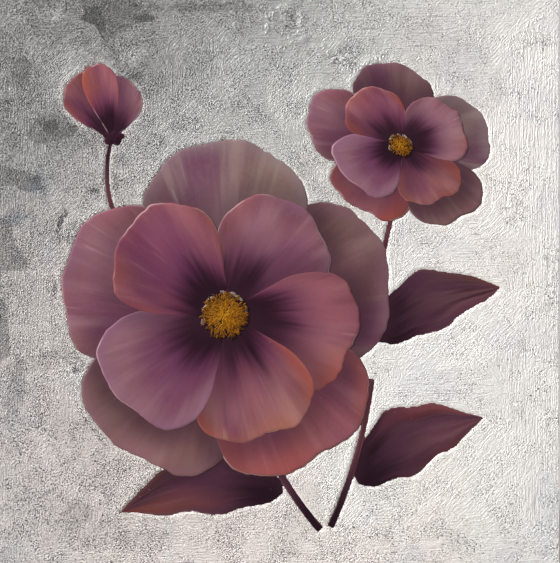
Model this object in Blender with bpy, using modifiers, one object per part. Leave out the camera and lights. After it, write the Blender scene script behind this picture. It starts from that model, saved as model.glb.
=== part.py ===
"""Square painted panel: a cradled plywood panel with a gesso ground and a painted spray in low relief.

The panel stands on its bottom edge with its painted face towards -Y.
Units are metres, +Z is up, and the origin is the middle of the bottom of the whole part.
The spray is drawn in the plane of the panel: x to the right and z up, in millimetres.
"""

import math

import bmesh
import bpy
import numpy as np

MM = 0.001

# Driving dimensions. A size in the drawing's millimetres says so; the others are in metres.
PANEL_SIDE = 200 * MM
BOARD_THICKNESS = 4 * MM
STRIP_DEPTH = 33.8 * MM
STRIP_WIDTH = 18 * MM
GROUND_THICKNESS = 1.5 * MM
GROUND_INSET = 0.2 * MM
GROUND_EDGE_RADIUS = 0.7 * MM
WOOD_EDGE_RADIUS = 0.5 * MM
LAYER_GAP = 0.3 * MM
CUT_GAP = 0.3  # mm, between neighbouring areas of paint
PAINT_MAX = 1.3 * MM

# Sawtooth hanger on the back of the top strip
HANGER_LENGTH = 46.0  # mm
HANGER_HEIGHT = 8.0  # mm
HANGER_THICKNESS = 0.8 * MM
HANGER_TEETH = 9
HANGER_TOOTH_SPAN = 22.0  # mm
HANGER_TOOTH_DEPTH = 1.6  # mm
NAIL_SPACING = 38 * MM
NAIL_RADIUS = 0.7 * MM
NAIL_HOLE_RADIUS = 1.0 * MM
NAIL_HEAD_RADIUS = 1.9 * MM
NAIL_HEAD_THICKNESS = 0.5 * MM
NAIL_LENGTH = 12 * MM

# Depths along Y. The front of the thickest paint and the back of the nail heads are alike far from y = 0.
HARDWARE_DEPTH = LAYER_GAP + HANGER_THICKNESS + LAYER_GAP + NAIL_HEAD_THICKNESS
FRONT_DEPTH = LAYER_GAP + BOARD_THICKNESS + LAYER_GAP + GROUND_THICKNESS + LAYER_GAP + PAINT_MAX
TOTAL_DEPTH = FRONT_DEPTH + STRIP_DEPTH + HARDWARE_DEPTH
STRIP_BACK = TOTAL_DEPTH / 2 - HARDWARE_DEPTH
STRIP_FRONT = STRIP_BACK - STRIP_DEPTH
BOARD_BACK = STRIP_FRONT - LAYER_GAP
BOARD_FRONT = BOARD_BACK - BOARD_THICKNESS
GROUND_BACK = BOARD_FRONT - LAYER_GAP
GROUND_FRONT = GROUND_BACK - GROUND_THICKNESS
PAINT_BACK = GROUND_FRONT - LAYER_GAP
HANGER_FRONT = STRIP_BACK + LAYER_GAP
HANGER_BACK = HANGER_FRONT + HANGER_THICKNESS

# Paint thickness of each kind of mark
STEM_PAINT = 0.5 * MM
LEAF_PAINT = 0.55 * MM
PETAL_PAINT = 0.55 * MM
INNER_PETAL_PAINT = 0.8 * MM
PETAL_STEP = 0.06 * MM
HEART_PAINT = 1.0 * MM
STAMEN_PAINT = 0.8 * MM
SPARE = 1.0 * MM  # depth that is cut off behind a painted area
SPARE_STEP = 0.07 * MM

# The blooms: centre, tilt (direction in degrees and share of the width kept), root (mm that a petal's
# area reaches past the middle, under the heart) and petals, back ones first.
# A petal is its direction and half spread in degrees, length in mm, droop of its corners, and ruffle.
LARGE_BLOOM = {
    "centre": (-18, 88),
    "tilt": (0, 1.0),
    "root": 3.0,
    "heart": 12.5,
    "stamens": 8.0,
    "outer": [
        (18, 44, 60, 0.30, 0.018),
        (90, 44, 61, 0.30, 0.018),
        (162, 44, 59, 0.30, 0.018),
        (234, 44, 60, 0.30, 0.018),
        (306, 44, 61, 0.30, 0.018),
    ],
    "inner": [
        (54, 44, 46, 0.34, 0.022),
        (350, 44, 47, 0.34, 0.022),
        (290, 44, 46, 0.34, 0.022),
        (218, 44, 48, 0.34, 0.022),
        (136, 44, 46, 0.34, 0.022),
    ],
}
SMALL_BLOOM = {
    "centre": (44, 148),
    "tilt": (60, 0.8),
    "root": 2.0,
    "heart": 7.0,
    "stamens": 4.4,
    "outer": [
        (20, 42, 35, 0.34, 0.02),
        (92, 42, 34, 0.34, 0.02),
        (164, 42, 35, 0.34, 0.02),
        (236, 42, 34, 0.34, 0.02),
        (308, 42, 35, 0.34, 0.02),
    ],
    "inner": [
        (305, 50, 26, 0.36, 0.025),
        (30, 50, 27, 0.36, 0.025),
        (125, 50, 25, 0.36, 0.025),
        (215, 50, 27, 0.36, 0.025),
    ],
}
BUD = {
    "centre": (-58, 150),
    "tilt": (28, 0.8),
    "root": 0.8,
    "outer": [
        (120, 38, 26, 0.30, 0.01),
        (74, 36, 25, 0.30, 0.01),
        (98, 26, 28, 0.34, 0.01),
    ],
}
BUD_BASE = {"centre": (-57.5, 151), "tilt": (90, 0.8), "radius": 3.6}

# The raised dabs on a stamen tuft, in two rings. Radius and half sizes are shares of the tuft's radius.
DABS_PER_RING = 16
DAB_RINGS = (0.42, 0.76)
DAB_HALF_LENGTH = 0.17
DAB_HALF_WIDTHS = (0.06, 0.095)
DAB_STEP = 0.1 * MM


def clear_scene():
    for thing in list(bpy.data.objects):
        bpy.data.objects.remove(thing)


def collection(name):
    made = bpy.data.collections.new(name)
    bpy.context.scene.collection.children.link(made)
    return made


def material(name, colour, roughness, metallic=0.0):
    made = bpy.data.materials.new(name)
    made.use_nodes = True
    shader = made.node_tree.nodes["Principled BSDF"]
    shader.inputs["Base Color"].default_value = (*colour, 1)
    shader.inputs["Roughness"].default_value = roughness
    shader.inputs["Metallic"].default_value = metallic
    return made


def move_to(thing, target):
    """Keeps the object in the target collection only."""
    for holder in list(thing.users_collection):
        holder.objects.unlink(thing)
    target.objects.link(thing)


def block(name, side, back, front, target):
    """A square slab parallel to the panel, centred across it, between two depths along Y."""
    bpy.ops.mesh.primitive_cube_add(size=1, location=(0, (back + front) / 2, PANEL_SIDE / 2))
    made = bpy.context.active_object
    made.name = name
    made.dimensions = (side, back - front, side)
    bpy.ops.object.transform_apply(location=False, rotation=False, scale=True)
    move_to(made, target)
    return made


def mesh_from(thing, name, target):
    """The evaluated shape of thing as a welded mesh object of its own, with thing removed."""
    view = bpy.context.evaluated_depsgraph_get()
    mesh = bpy.data.meshes.new_from_object(thing.evaluated_get(view))
    shape = bmesh.new()
    shape.from_mesh(mesh)
    bmesh.ops.remove_doubles(shape, verts=shape.verts, dist=0.005 * MM)
    bmesh.ops.dissolve_degenerate(shape, edges=shape.edges, dist=0.002 * MM)
    bmesh.ops.recalc_face_normals(shape, faces=shape.faces)
    shape.to_mesh(mesh)
    shape.free()
    place = thing.matrix_world.copy()
    bpy.data.objects.remove(thing)
    made = bpy.data.objects.new(name, mesh)
    made.matrix_world = place
    target.objects.link(made)
    return made


def plate(name, outline, back, front, target):
    """A flat piece parallel to the panel: an outline in (x, z) millimetres between two depths along Y."""
    curve = bpy.data.curves.new(name, "CURVE")
    curve.dimensions = "2D"
    curve.fill_mode = "BOTH"
    curve.extrude = abs(back - front) / 2
    spline = curve.splines.new("POLY")
    spline.points.add(len(outline) - 1)
    for point, (x, z) in zip(spline.points, outline):
        point.co = (x * MM, z * MM, 0, 1)
    spline.use_cyclic_u = True
    thing = bpy.data.objects.new(name + "_outline", curve)
    thing.rotation_euler = (math.pi / 2, 0, 0)
    thing.location = (0, (back + front) / 2, 0)
    target.objects.link(thing)
    bpy.context.view_layer.update()
    return mesh_from(thing, name, target)


def rod(name, radius, front, back, x, z, target, sides=16):
    """A round rod along Y between two depths."""
    bpy.ops.mesh.primitive_cylinder_add(
        vertices=sides,
        radius=radius,
        depth=abs(back - front),
        location=(x, (back + front) / 2, z),
        rotation=(math.pi / 2, 0, 0),
    )
    made = bpy.context.active_object
    made.name = name
    move_to(made, target)
    return made


def combine(base, others, operation, name, target):
    """Joins or cuts base with the others, one Boolean each, and removes the others."""
    for number, other in enumerate(others):
        step = base.modifiers.new(f"{operation}_{number}", "BOOLEAN")
        step.operation = operation
        step.solver = "EXACT"
        step.object = other
    bpy.context.view_layer.update()
    made = mesh_from(base, name, target)
    for other in others:
        bpy.data.objects.remove(other)
    return made


def rounded(thing, radius):
    """A small rounded edge all round."""
    edge = thing.modifiers.new("edge", "BEVEL")
    edge.width = radius
    edge.segments = 2
    edge.limit_method = "ANGLE"
    edge.angle_limit = math.radians(40)


def tilted(points, centre, tilt):
    """Narrows points about a centre along one direction, as a bloom that leans away looks."""
    direction, keep = math.radians(tilt[0]), tilt[1]
    axis = np.array([math.cos(direction), math.sin(direction)])
    away = points - np.array(centre)
    return points - np.outer(away @ axis, axis) * (1 - keep)


def grown(outline, amount):
    """The outline moved outwards by an amount along its own normals."""
    ahead, behind = np.roll(outline, -1, 0), np.roll(outline, 1, 0)
    along = ahead - behind
    out = np.stack([along[:, 1], -along[:, 0]], 1)
    out /= np.linalg.norm(out, axis=1)[:, None]
    return outline + out * amount


def petal_outline(bloom, petal, points=31):
    """A fan: out from the centre along one side, round a wavy end and back along the other side."""
    direction, spread, length, droop, ruffle = petal
    across = np.linspace(-1, 1, points)
    phase = math.radians(direction)
    wave = np.sin(5.3 * across + phase) + 0.55 * np.sin(11.7 * across + 2.1 * phase)
    reach = length * (1 - droop * np.abs(across) ** 3) * (1 + ruffle * wave)
    angle = np.radians(direction + spread * across)
    tip = np.stack([reach * np.cos(angle), reach * np.sin(angle)], 1)
    root = -bloom["root"] * np.array([[math.cos(phase), math.sin(phase)]])
    outline = np.vstack([root, tip]) + np.array(bloom["centre"])
    return tilted(outline, bloom["centre"], bloom["tilt"])


def ring_outline(bloom, radius, waviness, waves, points=48):
    """A round area with a wavy rim about a bloom's centre."""
    turn = np.linspace(0, 2 * math.pi, points, endpoint=False)
    reach = radius * (1 + waviness * np.sin(waves * turn + 0.7))
    round_points = np.stack([reach * np.cos(turn), reach * np.sin(turn)], 1) + np.array(bloom["centre"])
    return tilted(round_points, bloom["centre"], bloom["tilt"])


def heart_outline(bloom):
    return ring_outline(bloom, bloom["heart"], 0.05, 9)


def stamen_outline(bloom):
    return ring_outline(bloom, bloom["stamens"], 0.06, 7)


def calyx_outline():
    return ring_outline(BUD_BASE, BUD_BASE["radius"], 0.25, 5)


def leaf_outline(base, tip, width, bend, waves, points=25):
    """A pointed leaf with a gently waved edge, from its base to its tip."""
    share = np.linspace(0.02, 0.995, points)
    base, tip = np.array(base, float), np.array(tip, float)
    along = tip - base
    side = np.array([-along[1], along[0]]) / np.linalg.norm(along)
    rib = base + np.outer(share, along) + np.outer(np.sin(math.pi * share) * bend, side)
    half = width * np.sin(math.pi * share**0.8) ** 0.9 * (1 + 0.08 * np.sin(waves * math.pi * share))
    right, left = rib - np.outer(half, side), rib + np.outer(half, side)
    return np.vstack([right, left[::-1]])


def stroke_outline(start, through, end, first_width, last_width, points=25):
    """A tapering brush stroke along one smooth bend."""
    share = np.linspace(0, 1, points)[:, None]
    start, through, end = (np.array(p, float) for p in (start, through, end))
    line = (1 - share) ** 2 * start + 2 * share * (1 - share) * through + share**2 * end
    along = np.gradient(line, axis=0)
    side = np.stack([-along[:, 1], along[:, 0]], 1)
    side /= np.linalg.norm(side, axis=1)[:, None]
    half = (first_width + (last_width - first_width) * share) / 2
    return np.vstack([line - side * half, (line + side * half)[::-1]])


def cover(outline, cutters):
    """A plate a hair larger than an outline and deeper than any paint, to clear what lies under a mark."""
    above, below = PAINT_BACK - 2 * PAINT_MAX, PAINT_BACK + 3 * PAINT_MAX
    return plate("cover", grown(outline, CUT_GAP), below, above, cutters)


def outlines(bloom, ring):
    return [petal_outline(bloom, petal) for petal in bloom[ring]]


def petals(name, bloom, ring, covers, parts, cutters):
    """A ring of petals as one area of paint, each a little thicker than the one behind it."""
    first = PETAL_PAINT if ring == "outer" else INNER_PETAL_PAINT
    plates = [
        plate(
            f"petal_{number}",
            outline,
            PAINT_BACK + SPARE + number * SPARE_STEP,
            PAINT_BACK - first - number * PETAL_STEP,
            cutters,
        )
        for number, outline in enumerate(outlines(bloom, ring))
    ]
    whole = combine(plates[0], plates[1:], "UNION", name + "_whole", cutters)
    flat_back = block("flat_back", PANEL_SIDE * 2, PAINT_BACK + 4 * SPARE, PAINT_BACK, cutters)
    return combine(whole, [flat_back] + [cover(area, cutters) for area in covers], "DIFFERENCE", name, parts)


def heart(name, bloom, parts, cutters):
    """The dark ring of paint round a bloom's stamens."""
    disc = plate("heart_disc", heart_outline(bloom), PAINT_BACK, PAINT_BACK - HEART_PAINT, cutters)
    return combine(disc, [cover(stamen_outline(bloom), cutters)], "DIFFERENCE", name, parts)


def stamens(name, bloom, parts, cutters):
    """The ochre tuft: a round pad with rings of short raised dabs of paint pointing outwards."""
    radius = bloom["stamens"]
    pad = plate("pad", stamen_outline(bloom), PAINT_BACK, PAINT_BACK - STAMEN_PAINT, cutters)
    dabs = []
    for ring, share in enumerate(DAB_RINGS):
        for number in range(DABS_PER_RING):
            turn = 2 * math.pi * (number + 0.5 * ring) / DABS_PER_RING
            out = np.array([math.cos(turn), math.sin(turn)])
            side = np.array([-out[1], out[0]])
            long, wide = radius * DAB_HALF_LENGTH, radius * DAB_HALF_WIDTHS[ring]
            corners = np.array([-side * wide, -out * long, side * wide, out * long])
            outline = np.array(bloom["centre"]) + out * radius * share + corners
            outline = tilted(outline, bloom["centre"], bloom["tilt"])
            dabs.append(
                plate(
                    f"dab_{ring}_{number}",
                    outline,
                    PAINT_BACK - STAMEN_PAINT / 2,
                    PAINT_BACK - PAINT_MAX + DAB_STEP * ring,
                    cutters,
                )
            )
    return combine(pad, dabs, "UNION", name, parts)


def ground(parts):
    """The gesso ground that carries the silver leaf, a hair inside the board's edges."""
    made = block("ground", PANEL_SIDE - 2 * GROUND_INSET, GROUND_BACK, GROUND_FRONT, parts)
    rounded(made, GROUND_EDGE_RADIUS)
    return made


def strips(parts, cutters):
    """Four mitred strips glued behind the board, each turned a quarter from the one before it."""
    half = PANEL_SIDE / MM / 2
    width = STRIP_WIDTH / MM
    mitre = LAYER_GAP / MM / 2
    outline = np.array(
        [
            (-half + mitre, -half),
            (half - mitre, -half),
            (half - width - mitre, -half + width),
            (-half + width + mitre, -half + width),
        ]
    )
    made = {}
    for name, quarter in (("bottom", 0), ("right", 1), ("top", 2), ("left", 3)):
        turn = quarter * math.pi / 2
        spin = np.array([[math.cos(turn), math.sin(turn)], [-math.sin(turn), math.cos(turn)]])
        turned = outline @ spin + np.array([0, half])
        strip = plate("cradle_" + name, turned, STRIP_BACK, STRIP_FRONT, parts)
        rounded(strip, WOOD_EDGE_RADIUS)
        if name == "top":
            holes = [
                rod(
                    f"nail_hole_{number}",
                    NAIL_HOLE_RADIUS,
                    STRIP_BACK - NAIL_LENGTH - LAYER_GAP,
                    STRIP_BACK + NAIL_LENGTH,
                    x,
                    hanger_height() * MM,
                    cutters,
                )
                for number, x in enumerate((-NAIL_SPACING / 2, NAIL_SPACING / 2))
            ]
            strip = combine(strip, holes, "DIFFERENCE", "cradle_top", parts)
        made[name] = strip
    return made


def hanger_height():
    """Height in mm of the hanger's middle, half way up the top strip."""
    return (PANEL_SIDE - STRIP_WIDTH / 2) / MM


def hanger(parts, cutters):
    """A pressed steel plate with round ends, two nail holes and a row of teeth along its lower edge."""
    middle = hanger_height()
    half, tall = HANGER_LENGTH / 2, HANGER_HEIGHT / 2
    turn = np.linspace(-math.pi / 2, math.pi / 2, 9)
    right = np.stack([half - tall + tall * np.cos(turn), tall * np.sin(turn)], 1)
    left = np.stack([-half + tall - tall * np.cos(turn), -tall * np.sin(turn)], 1)
    pitch = HANGER_TOOTH_SPAN / HANGER_TEETH
    teeth = []
    for number in range(HANGER_TEETH):
        start = -HANGER_TOOTH_SPAN / 2 + number * pitch
        teeth += [(start, -tall), (start + pitch / 2, -tall + HANGER_TOOTH_DEPTH)]
    teeth.append((HANGER_TOOTH_SPAN / 2, -tall))
    outline = np.vstack([right, left, teeth]) + np.array([0, middle])
    made = plate("hanger", outline, HANGER_FRONT, HANGER_BACK, parts)
    holes = [
        rod("hole", NAIL_HOLE_RADIUS, HANGER_FRONT - MM, HANGER_BACK + MM, x, middle * MM, cutters)
        for x in (-NAIL_SPACING / 2, NAIL_SPACING / 2)
    ]
    return combine(made, holes, "DIFFERENCE", "hanger", parts)


def nail(name, x, parts, cutters):
    """A round-headed nail through the hanger into the top strip."""
    z = hanger_height() * MM
    head_front = HANGER_BACK + LAYER_GAP
    shank = rod(name + "_shank", NAIL_RADIUS, STRIP_BACK - NAIL_LENGTH, head_front + 0.2 * MM, x, z, cutters)
    head = rod(name + "_head", NAIL_HEAD_RADIUS, head_front, head_front + NAIL_HEAD_THICKNESS, x, z, cutters)
    return combine(shank, [head], "UNION", name, parts)


def mark(name, outline, thickness, covers, parts, cutters):
    """A stem or leaf as an area of paint, cut away where other marks cover it."""
    if not covers:
        return plate(name, outline, PAINT_BACK, PAINT_BACK - thickness, parts)
    whole = plate(name + "_whole", outline, PAINT_BACK, PAINT_BACK - thickness, cutters)
    return combine(whole, [cover(area, cutters) for area in covers], "DIFFERENCE", name, parts)


def stems_and_leaves(parts, cutters):
    large = outlines(LARGE_BLOOM, "outer") + outlines(LARGE_BLOOM, "inner")
    small = outlines(SMALL_BLOOM, "outer")
    large_stem = stroke_outline((16, 12), (-2, 32), (-10, 60), 3.2, 2.4)
    small_stem = stroke_outline((19, 13), (30, 36), (34, 66), 3.0, 2.4)
    upper_stem = stroke_outline((35, 96), (38, 112), (43, 132), 2.4, 2.2)
    bud_stem = stroke_outline((-58, 151), (-63, 132), (-54, 118), 1.8, 2.2)
    lower_right = leaf_outline((27, 29.5), (74, 52), 12, 5, 6)
    lower_left = leaf_outline((4, 27), (-56, 18), 11, -6, 6)
    upper = leaf_outline((34, 80), (80, 98), 11, 5, 5)
    drawn = [
        ("stem_large", large_stem, STEM_PAINT, large),
        ("stem_small_lower", small_stem, STEM_PAINT, large + [large_stem]),
        ("stem_small_upper", upper_stem, STEM_PAINT, large + small),
        ("stem_bud", bud_stem, STEM_PAINT, large + [calyx_outline()]),
        ("leaf_lower_right", lower_right, LEAF_PAINT, large + [small_stem]),
        ("leaf_lower_left", lower_left, LEAF_PAINT, large + [large_stem]),
        ("leaf_upper", upper, LEAF_PAINT, large),
        ("bud_calyx", calyx_outline(), HEART_PAINT, []),
    ]
    return [mark(name, line, thick, covers, parts, cutters) for name, line, thick, covers in drawn]


def main():
    clear_scene()
    parts = collection("painted_panel")
    cutters = collection("cutters")

    birch = material("birch", (0.62, 0.47, 0.31), 0.6)
    pine = material("pine", (0.66, 0.49, 0.29), 0.55)
    silver = material("silver_leaf", (0.76, 0.75, 0.73), 0.45, 0.8)
    mauve = material("mauve_paint", (0.25, 0.12, 0.15), 0.45)
    dusk = material("dusk_paint", (0.125, 0.048, 0.065), 0.45)
    plum = material("plum_paint", (0.06, 0.02, 0.035), 0.45)
    ochre = material("ochre_paint", (0.42, 0.20, 0.01), 0.5)
    steel = material("zinc_steel", (0.6, 0.6, 0.58), 0.35, 1.0)

    board = block("board", PANEL_SIDE, BOARD_BACK, BOARD_FRONT, parts)
    made = {board: birch, ground(parts): silver, hanger(parts, cutters): steel}
    for strip in strips(parts, cutters).values():
        made[strip] = pine
    for name, x in (("nail_left", -NAIL_SPACING / 2), ("nail_right", NAIL_SPACING / 2)):
        made[nail(name, x, parts, cutters)] = steel

    for stroke in stems_and_leaves(parts, cutters):
        made[stroke] = plum
    for name, bloom in (("bloom_large", LARGE_BLOOM), ("bloom_small", SMALL_BLOOM)):
        middle = [heart_outline(bloom)]
        over = outlines(bloom, "inner") + middle
        made[petals(name + "_outer_petals", bloom, "outer", over, parts, cutters)] = dusk
        made[petals(name + "_inner_petals", bloom, "inner", middle, parts, cutters)] = mauve
        made[heart(name + "_heart", bloom, parts, cutters)] = plum
        made[stamens(name + "_stamens", bloom, parts, cutters)] = ochre
    made[petals("bud_petals", BUD, "outer", [calyx_outline()], parts, cutters)] = mauve

    for thing, finish in made.items():
        thing.data.materials.clear()
        thing.data.materials.append(finish)


main()
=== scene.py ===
from functools import partial

import bpy
import numpy as np
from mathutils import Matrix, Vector


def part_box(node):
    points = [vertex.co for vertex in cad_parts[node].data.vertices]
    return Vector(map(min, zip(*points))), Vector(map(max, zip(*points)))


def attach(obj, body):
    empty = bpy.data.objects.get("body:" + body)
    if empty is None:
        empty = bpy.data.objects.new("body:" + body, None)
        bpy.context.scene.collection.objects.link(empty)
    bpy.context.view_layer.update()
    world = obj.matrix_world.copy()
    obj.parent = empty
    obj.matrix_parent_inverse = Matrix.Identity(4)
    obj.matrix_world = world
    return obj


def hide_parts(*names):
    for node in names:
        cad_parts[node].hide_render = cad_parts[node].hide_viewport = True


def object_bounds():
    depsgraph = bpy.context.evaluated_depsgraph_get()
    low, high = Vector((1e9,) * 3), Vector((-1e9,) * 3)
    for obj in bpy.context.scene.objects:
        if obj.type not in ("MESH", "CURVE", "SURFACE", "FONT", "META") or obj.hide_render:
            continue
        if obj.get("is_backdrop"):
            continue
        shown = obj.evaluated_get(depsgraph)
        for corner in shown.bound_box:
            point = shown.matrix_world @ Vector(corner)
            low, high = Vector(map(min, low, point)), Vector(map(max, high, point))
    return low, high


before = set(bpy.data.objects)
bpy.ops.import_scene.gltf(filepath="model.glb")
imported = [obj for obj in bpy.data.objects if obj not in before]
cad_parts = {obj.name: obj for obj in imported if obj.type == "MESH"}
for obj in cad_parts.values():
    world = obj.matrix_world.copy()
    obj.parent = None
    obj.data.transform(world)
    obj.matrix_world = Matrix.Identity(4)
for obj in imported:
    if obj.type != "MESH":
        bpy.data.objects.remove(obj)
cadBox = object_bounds()
print("frame loaded:", len(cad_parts), "nodes")

mm = 0.001
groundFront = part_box("ground")[0][1] / mm  # depth of the flat ground's face in mm, towards -Y
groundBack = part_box("ground")[1][1] / mm
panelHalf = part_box("board")[1][0] / mm
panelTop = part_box("board")[1][2] / mm


def speckle(x, y, cell, seed):
    # value noise: random heights on a square lattice, eased from corner to corner, from -1 to 1
    table = np.random.default_rng(seed).uniform(-1, 1, (128, 128))
    gx, gy = np.broadcast_arrays(np.asarray(x, float) / cell, np.asarray(y, float) / cell)
    ix, iy = np.floor(gx).astype(int), np.floor(gy).astype(int)
    fx, fy = gx - ix, gy - iy
    fx, fy = fx * fx * (3 - 2 * fx), fy * fy * (3 - 2 * fy)
    low = table[ix % 128, iy % 128] * (1 - fx) + table[(ix + 1) % 128, iy % 128] * fx
    high = table[ix % 128, (iy + 1) % 128] * (1 - fx) + table[(ix + 1) % 128, (iy + 1) % 128] * fx
    return low * (1 - fy) + high * fy


def ease(value, low, high):
    # 0 below low, 1 above high, with a smooth climb between
    share = np.clip((value - low) / (high - low), 0, 1)
    return share * share * (3 - 2 * share)


def resample(line, step):
    # a closed polygon with a point every step mm or so along its sides
    ring = np.vstack([line, line[:1]])
    far = np.concatenate([[0], np.cumsum(np.linalg.norm(np.diff(ring, axis=0), axis=1))])
    at = np.linspace(0, far[-1], max(8, int(far[-1] / step)), endpoint=False)
    return np.stack([np.interp(at, far, ring[:, 0]), np.interp(at, far, ring[:, 1])], 1)


def nearest(points, dots):
    # distance from each point to the nearest dot, and which dot it is
    gap, which = np.empty(len(points)), np.empty(len(points), int)
    for start in range(0, len(points), 2000):
        part = points[start:start + 2000]
        square = (part ** 2).sum(1)[:, None] + (dots ** 2).sum(1)[None] - 2 * part @ dots.T
        which[start:start + 2000] = square.argmin(1)
        gap[start:start + 2000] = np.sqrt(np.maximum(square.min(1), 0))
    return gap, which


def inside(points, line):
    # even-odd test: how often a ray to the right crosses the polygon's sides
    hit = np.zeros(len(points), bool)
    x, z = points[:, 0], points[:, 1]
    for (ax, az), (bx, bz) in zip(line, np.roll(line, -1, 0)):
        if az == bz:
            continue
        crosses = (z < az) != (z < bz)
        hit ^= crosses & (x < ax + (z - az) * (bx - ax) / (bz - az))
    return hit


def flatPoints(x, z):
    # a grid's points as rows, one column across and one up
    return np.stack([x.ravel(), z.ravel()], 1)


def place(name, points, faces, attributes=None, sharp=None):
    # a smooth piece on the panel's body, from points in mm, with a value at each point for each attribute;
    # edges sharper than that many degrees stay sharp
    mesh = bpy.data.meshes.new(name)
    mesh.from_pydata((points * mm).tolist(), [], faces)
    for key, values in (attributes or {}).items():
        mesh.attributes.new(key, "FLOAT", "POINT").data.foreach_set("value", values)
    mesh.shade_smooth()
    if sharp:
        mesh.set_sharp_from_angle(angle=np.radians(sharp))
    piece = bpy.data.objects.new(name, mesh)
    bpy.context.scene.collection.objects.link(piece)
    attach(piece, "root")
    return piece


def closedRelief(name, x, z, front, back, attributes, uv=None):
    # one closed body in the panel's plane: a skin on a grid, walls from its rim to a flat back.
    # x and z are mm across and up, front is each point's depth in mm, back is one depth in mm
    rows, cols = x.shape
    index = np.arange(rows * cols).reshape(rows, cols)
    skin = np.stack([index[:-1, :-1], index[:-1, 1:], index[1:, 1:], index[1:, :-1]], -1).reshape(-1, 4)
    rim = np.concatenate([index[0, :-1], index[:-1, -1], index[-1, :0:-1], index[:0:-1, 0]])
    low = rows * cols + np.arange(len(rim))
    walls = np.stack([np.roll(rim, -1), rim, low, np.roll(low, -1)], 1)
    top = np.stack([x.ravel(), front.ravel(), z.ravel()], 1)
    bottom = top[rim].copy()
    bottom[:, 1] = back
    points = np.vstack([top, bottom])
    faces = skin.tolist() + walls.tolist() + [low[::-1].tolist()]
    corner = points[skin]
    facing = np.cross(corner[:, 1] - corner[:, 0], corner[:, 2] - corner[:, 0])[:, 1].sum()
    if facing > 0:  # the skin must face -Y
        faces = [face[::-1] for face in faces]
    values = {key: np.append(value, value.ravel()[rim]) for key, value in attributes.items()}
    piece = place(name, points, faces, values, sharp=55)
    mesh = piece.data
    if uv:
        flat = flatPoints(*uv)
        flat = np.vstack([flat, flat[rim]])
        corners = np.empty(len(mesh.loops), int)
        mesh.loops.foreach_get("vertex_index", corners)
        mesh.uv_layers.new(name="UVMap").data.foreach_set("uv", flat[corners].ravel())
    mesh.validate()
    return piece


def dress(piece, material, node):
    # the finished piece takes its material and stands for a node of the frame
    piece.data.materials.append(material)
    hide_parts(node)


def colour(code):
    # sRGB hex to the linear colour that shaders take
    parts = [int(code[i:i + 2], 16) / 255 for i in (1, 3, 5)]
    return [p / 12.92 if p <= 0.04045 else ((p + 0.055) / 1.055) ** 2.4 for p in parts] + [1]


def setInput(tree, slot, value):
    # a number is set, a hex colour is set as a linear one, another node's output is linked,
    # and any other text is the name of one of the mesh's attributes
    if isinstance(value, str) and value[0] != "#":
        value = addNode(tree, "Attribute", attribute_name=value)
    if isinstance(value, bpy.types.NodeSocket):
        tree.links.new(value, slot)
    else:
        slot.default_value = colour(value) if isinstance(value, str) else value


usual = {  # settings that nearly every node of a kind has here; "out" is the output in use
    "Mix": {"data_type": "RGBA"}, "MapRange": {"interpolation_type": "SMOOTHSTEP"},
    "TexNoise": {"Roughness": 0.55}, "TexCoord": {"out": "Object"}, "Attribute": {"out": "Fac"},
}


def addNode(tree, kind, *values, **settings):
    # one node with its settings and links; gives back its output. The values go to its inputs in their
    # own order, and a setting is a property or an input by name. A kind in capitals is a Math operation
    if kind.isupper():
        kind, settings = "Math", {"operation": kind}
    settings = {**usual.get(kind, {}), **settings}
    out = settings.pop("out", None)
    node = tree.nodes.new("ShaderNode" + kind)
    inputs = {key: settings.pop(key) for key in list(settings) if key in node.inputs}
    for key, value in settings.items():
        setattr(node, key, value)
    for key, value in inputs.items():
        setInput(tree, node.inputs[key], value)
    for slot, value in zip([slot for slot in node.inputs if slot.enabled], values):
        setInput(tree, slot, value)
    return node.outputs[out] if out else next(slot for slot in node.outputs if slot.enabled)


def newMaterial(name):
    # a material, with a way to add nodes to it and a way to set its shader's inputs
    material = bpy.data.materials.new(name)
    material.use_nodes = True
    tree = material.node_tree
    inputs = tree.nodes["Principled BSDF"].inputs

    def setShader(values):
        for key, value in values.items():
            setInput(tree, inputs[key], value)

    return material, partial(addNode, tree), setShader


def layered(add, base, layers):
    # colours laid over each other. A layer is a share and a colour, or a pattern, the range over which
    # it climbs, the share at both ends of that range, and a colour
    for layer in layers:
        share = layer[0] if len(layer) == 2 else add("MapRange", *layer[:-1])
        base = add("Mix", share, base, layer[-1])
    return base


# the drawing of the spray, in mm across the panel and up it, as the solids have it
largeBloom = {
    "name": "bloom_large", "centre": (-18, 88), "tilt": (0, 1.0), "root": 3.0, "heart": 12.5, "stamens": 8.0,
    "touches": 760,  # of ochre in the tuft
    # direction and half spread in degrees, length, droop of the corners, ruffle
    "outer": [(18, 44, 60, 0.30, 0.018), (90, 44, 61, 0.30, 0.018), (162, 44, 59, 0.30, 0.018),
              (234, 44, 60, 0.30, 0.018), (306, 44, 61, 0.30, 0.018)],
    "inner": [(54, 44, 46, 0.34, 0.022), (350, 44, 47, 0.34, 0.022), (290, 44, 46, 0.34, 0.022),
              (218, 44, 48, 0.34, 0.022), (136, 44, 46, 0.34, 0.022)],
}
smallBloom = {
    "name": "bloom_small", "centre": (44, 148), "tilt": (60, 0.8), "root": 2.0, "heart": 7.0, "stamens": 4.4,
    "touches": 340,
    "outer": [(20, 42, 35, 0.34, 0.02), (92, 42, 34, 0.34, 0.02), (164, 42, 35, 0.34, 0.02),
              (236, 42, 34, 0.34, 0.02), (308, 42, 35, 0.34, 0.02)],
    "inner": [(305, 50, 26, 0.36, 0.025), (30, 50, 27, 0.36, 0.025), (125, 50, 25, 0.36, 0.025),
              (215, 50, 27, 0.36, 0.025)],
}
bud = {
    "name": "bud", "centre": (-58, 150), "tilt": (28, 0.8), "root": 0.8,
    "outer": [(120, 38, 26, 0.30, 0.01), (74, 36, 25, 0.30, 0.01), (98, 26, 28, 0.34, 0.01)],
}
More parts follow.
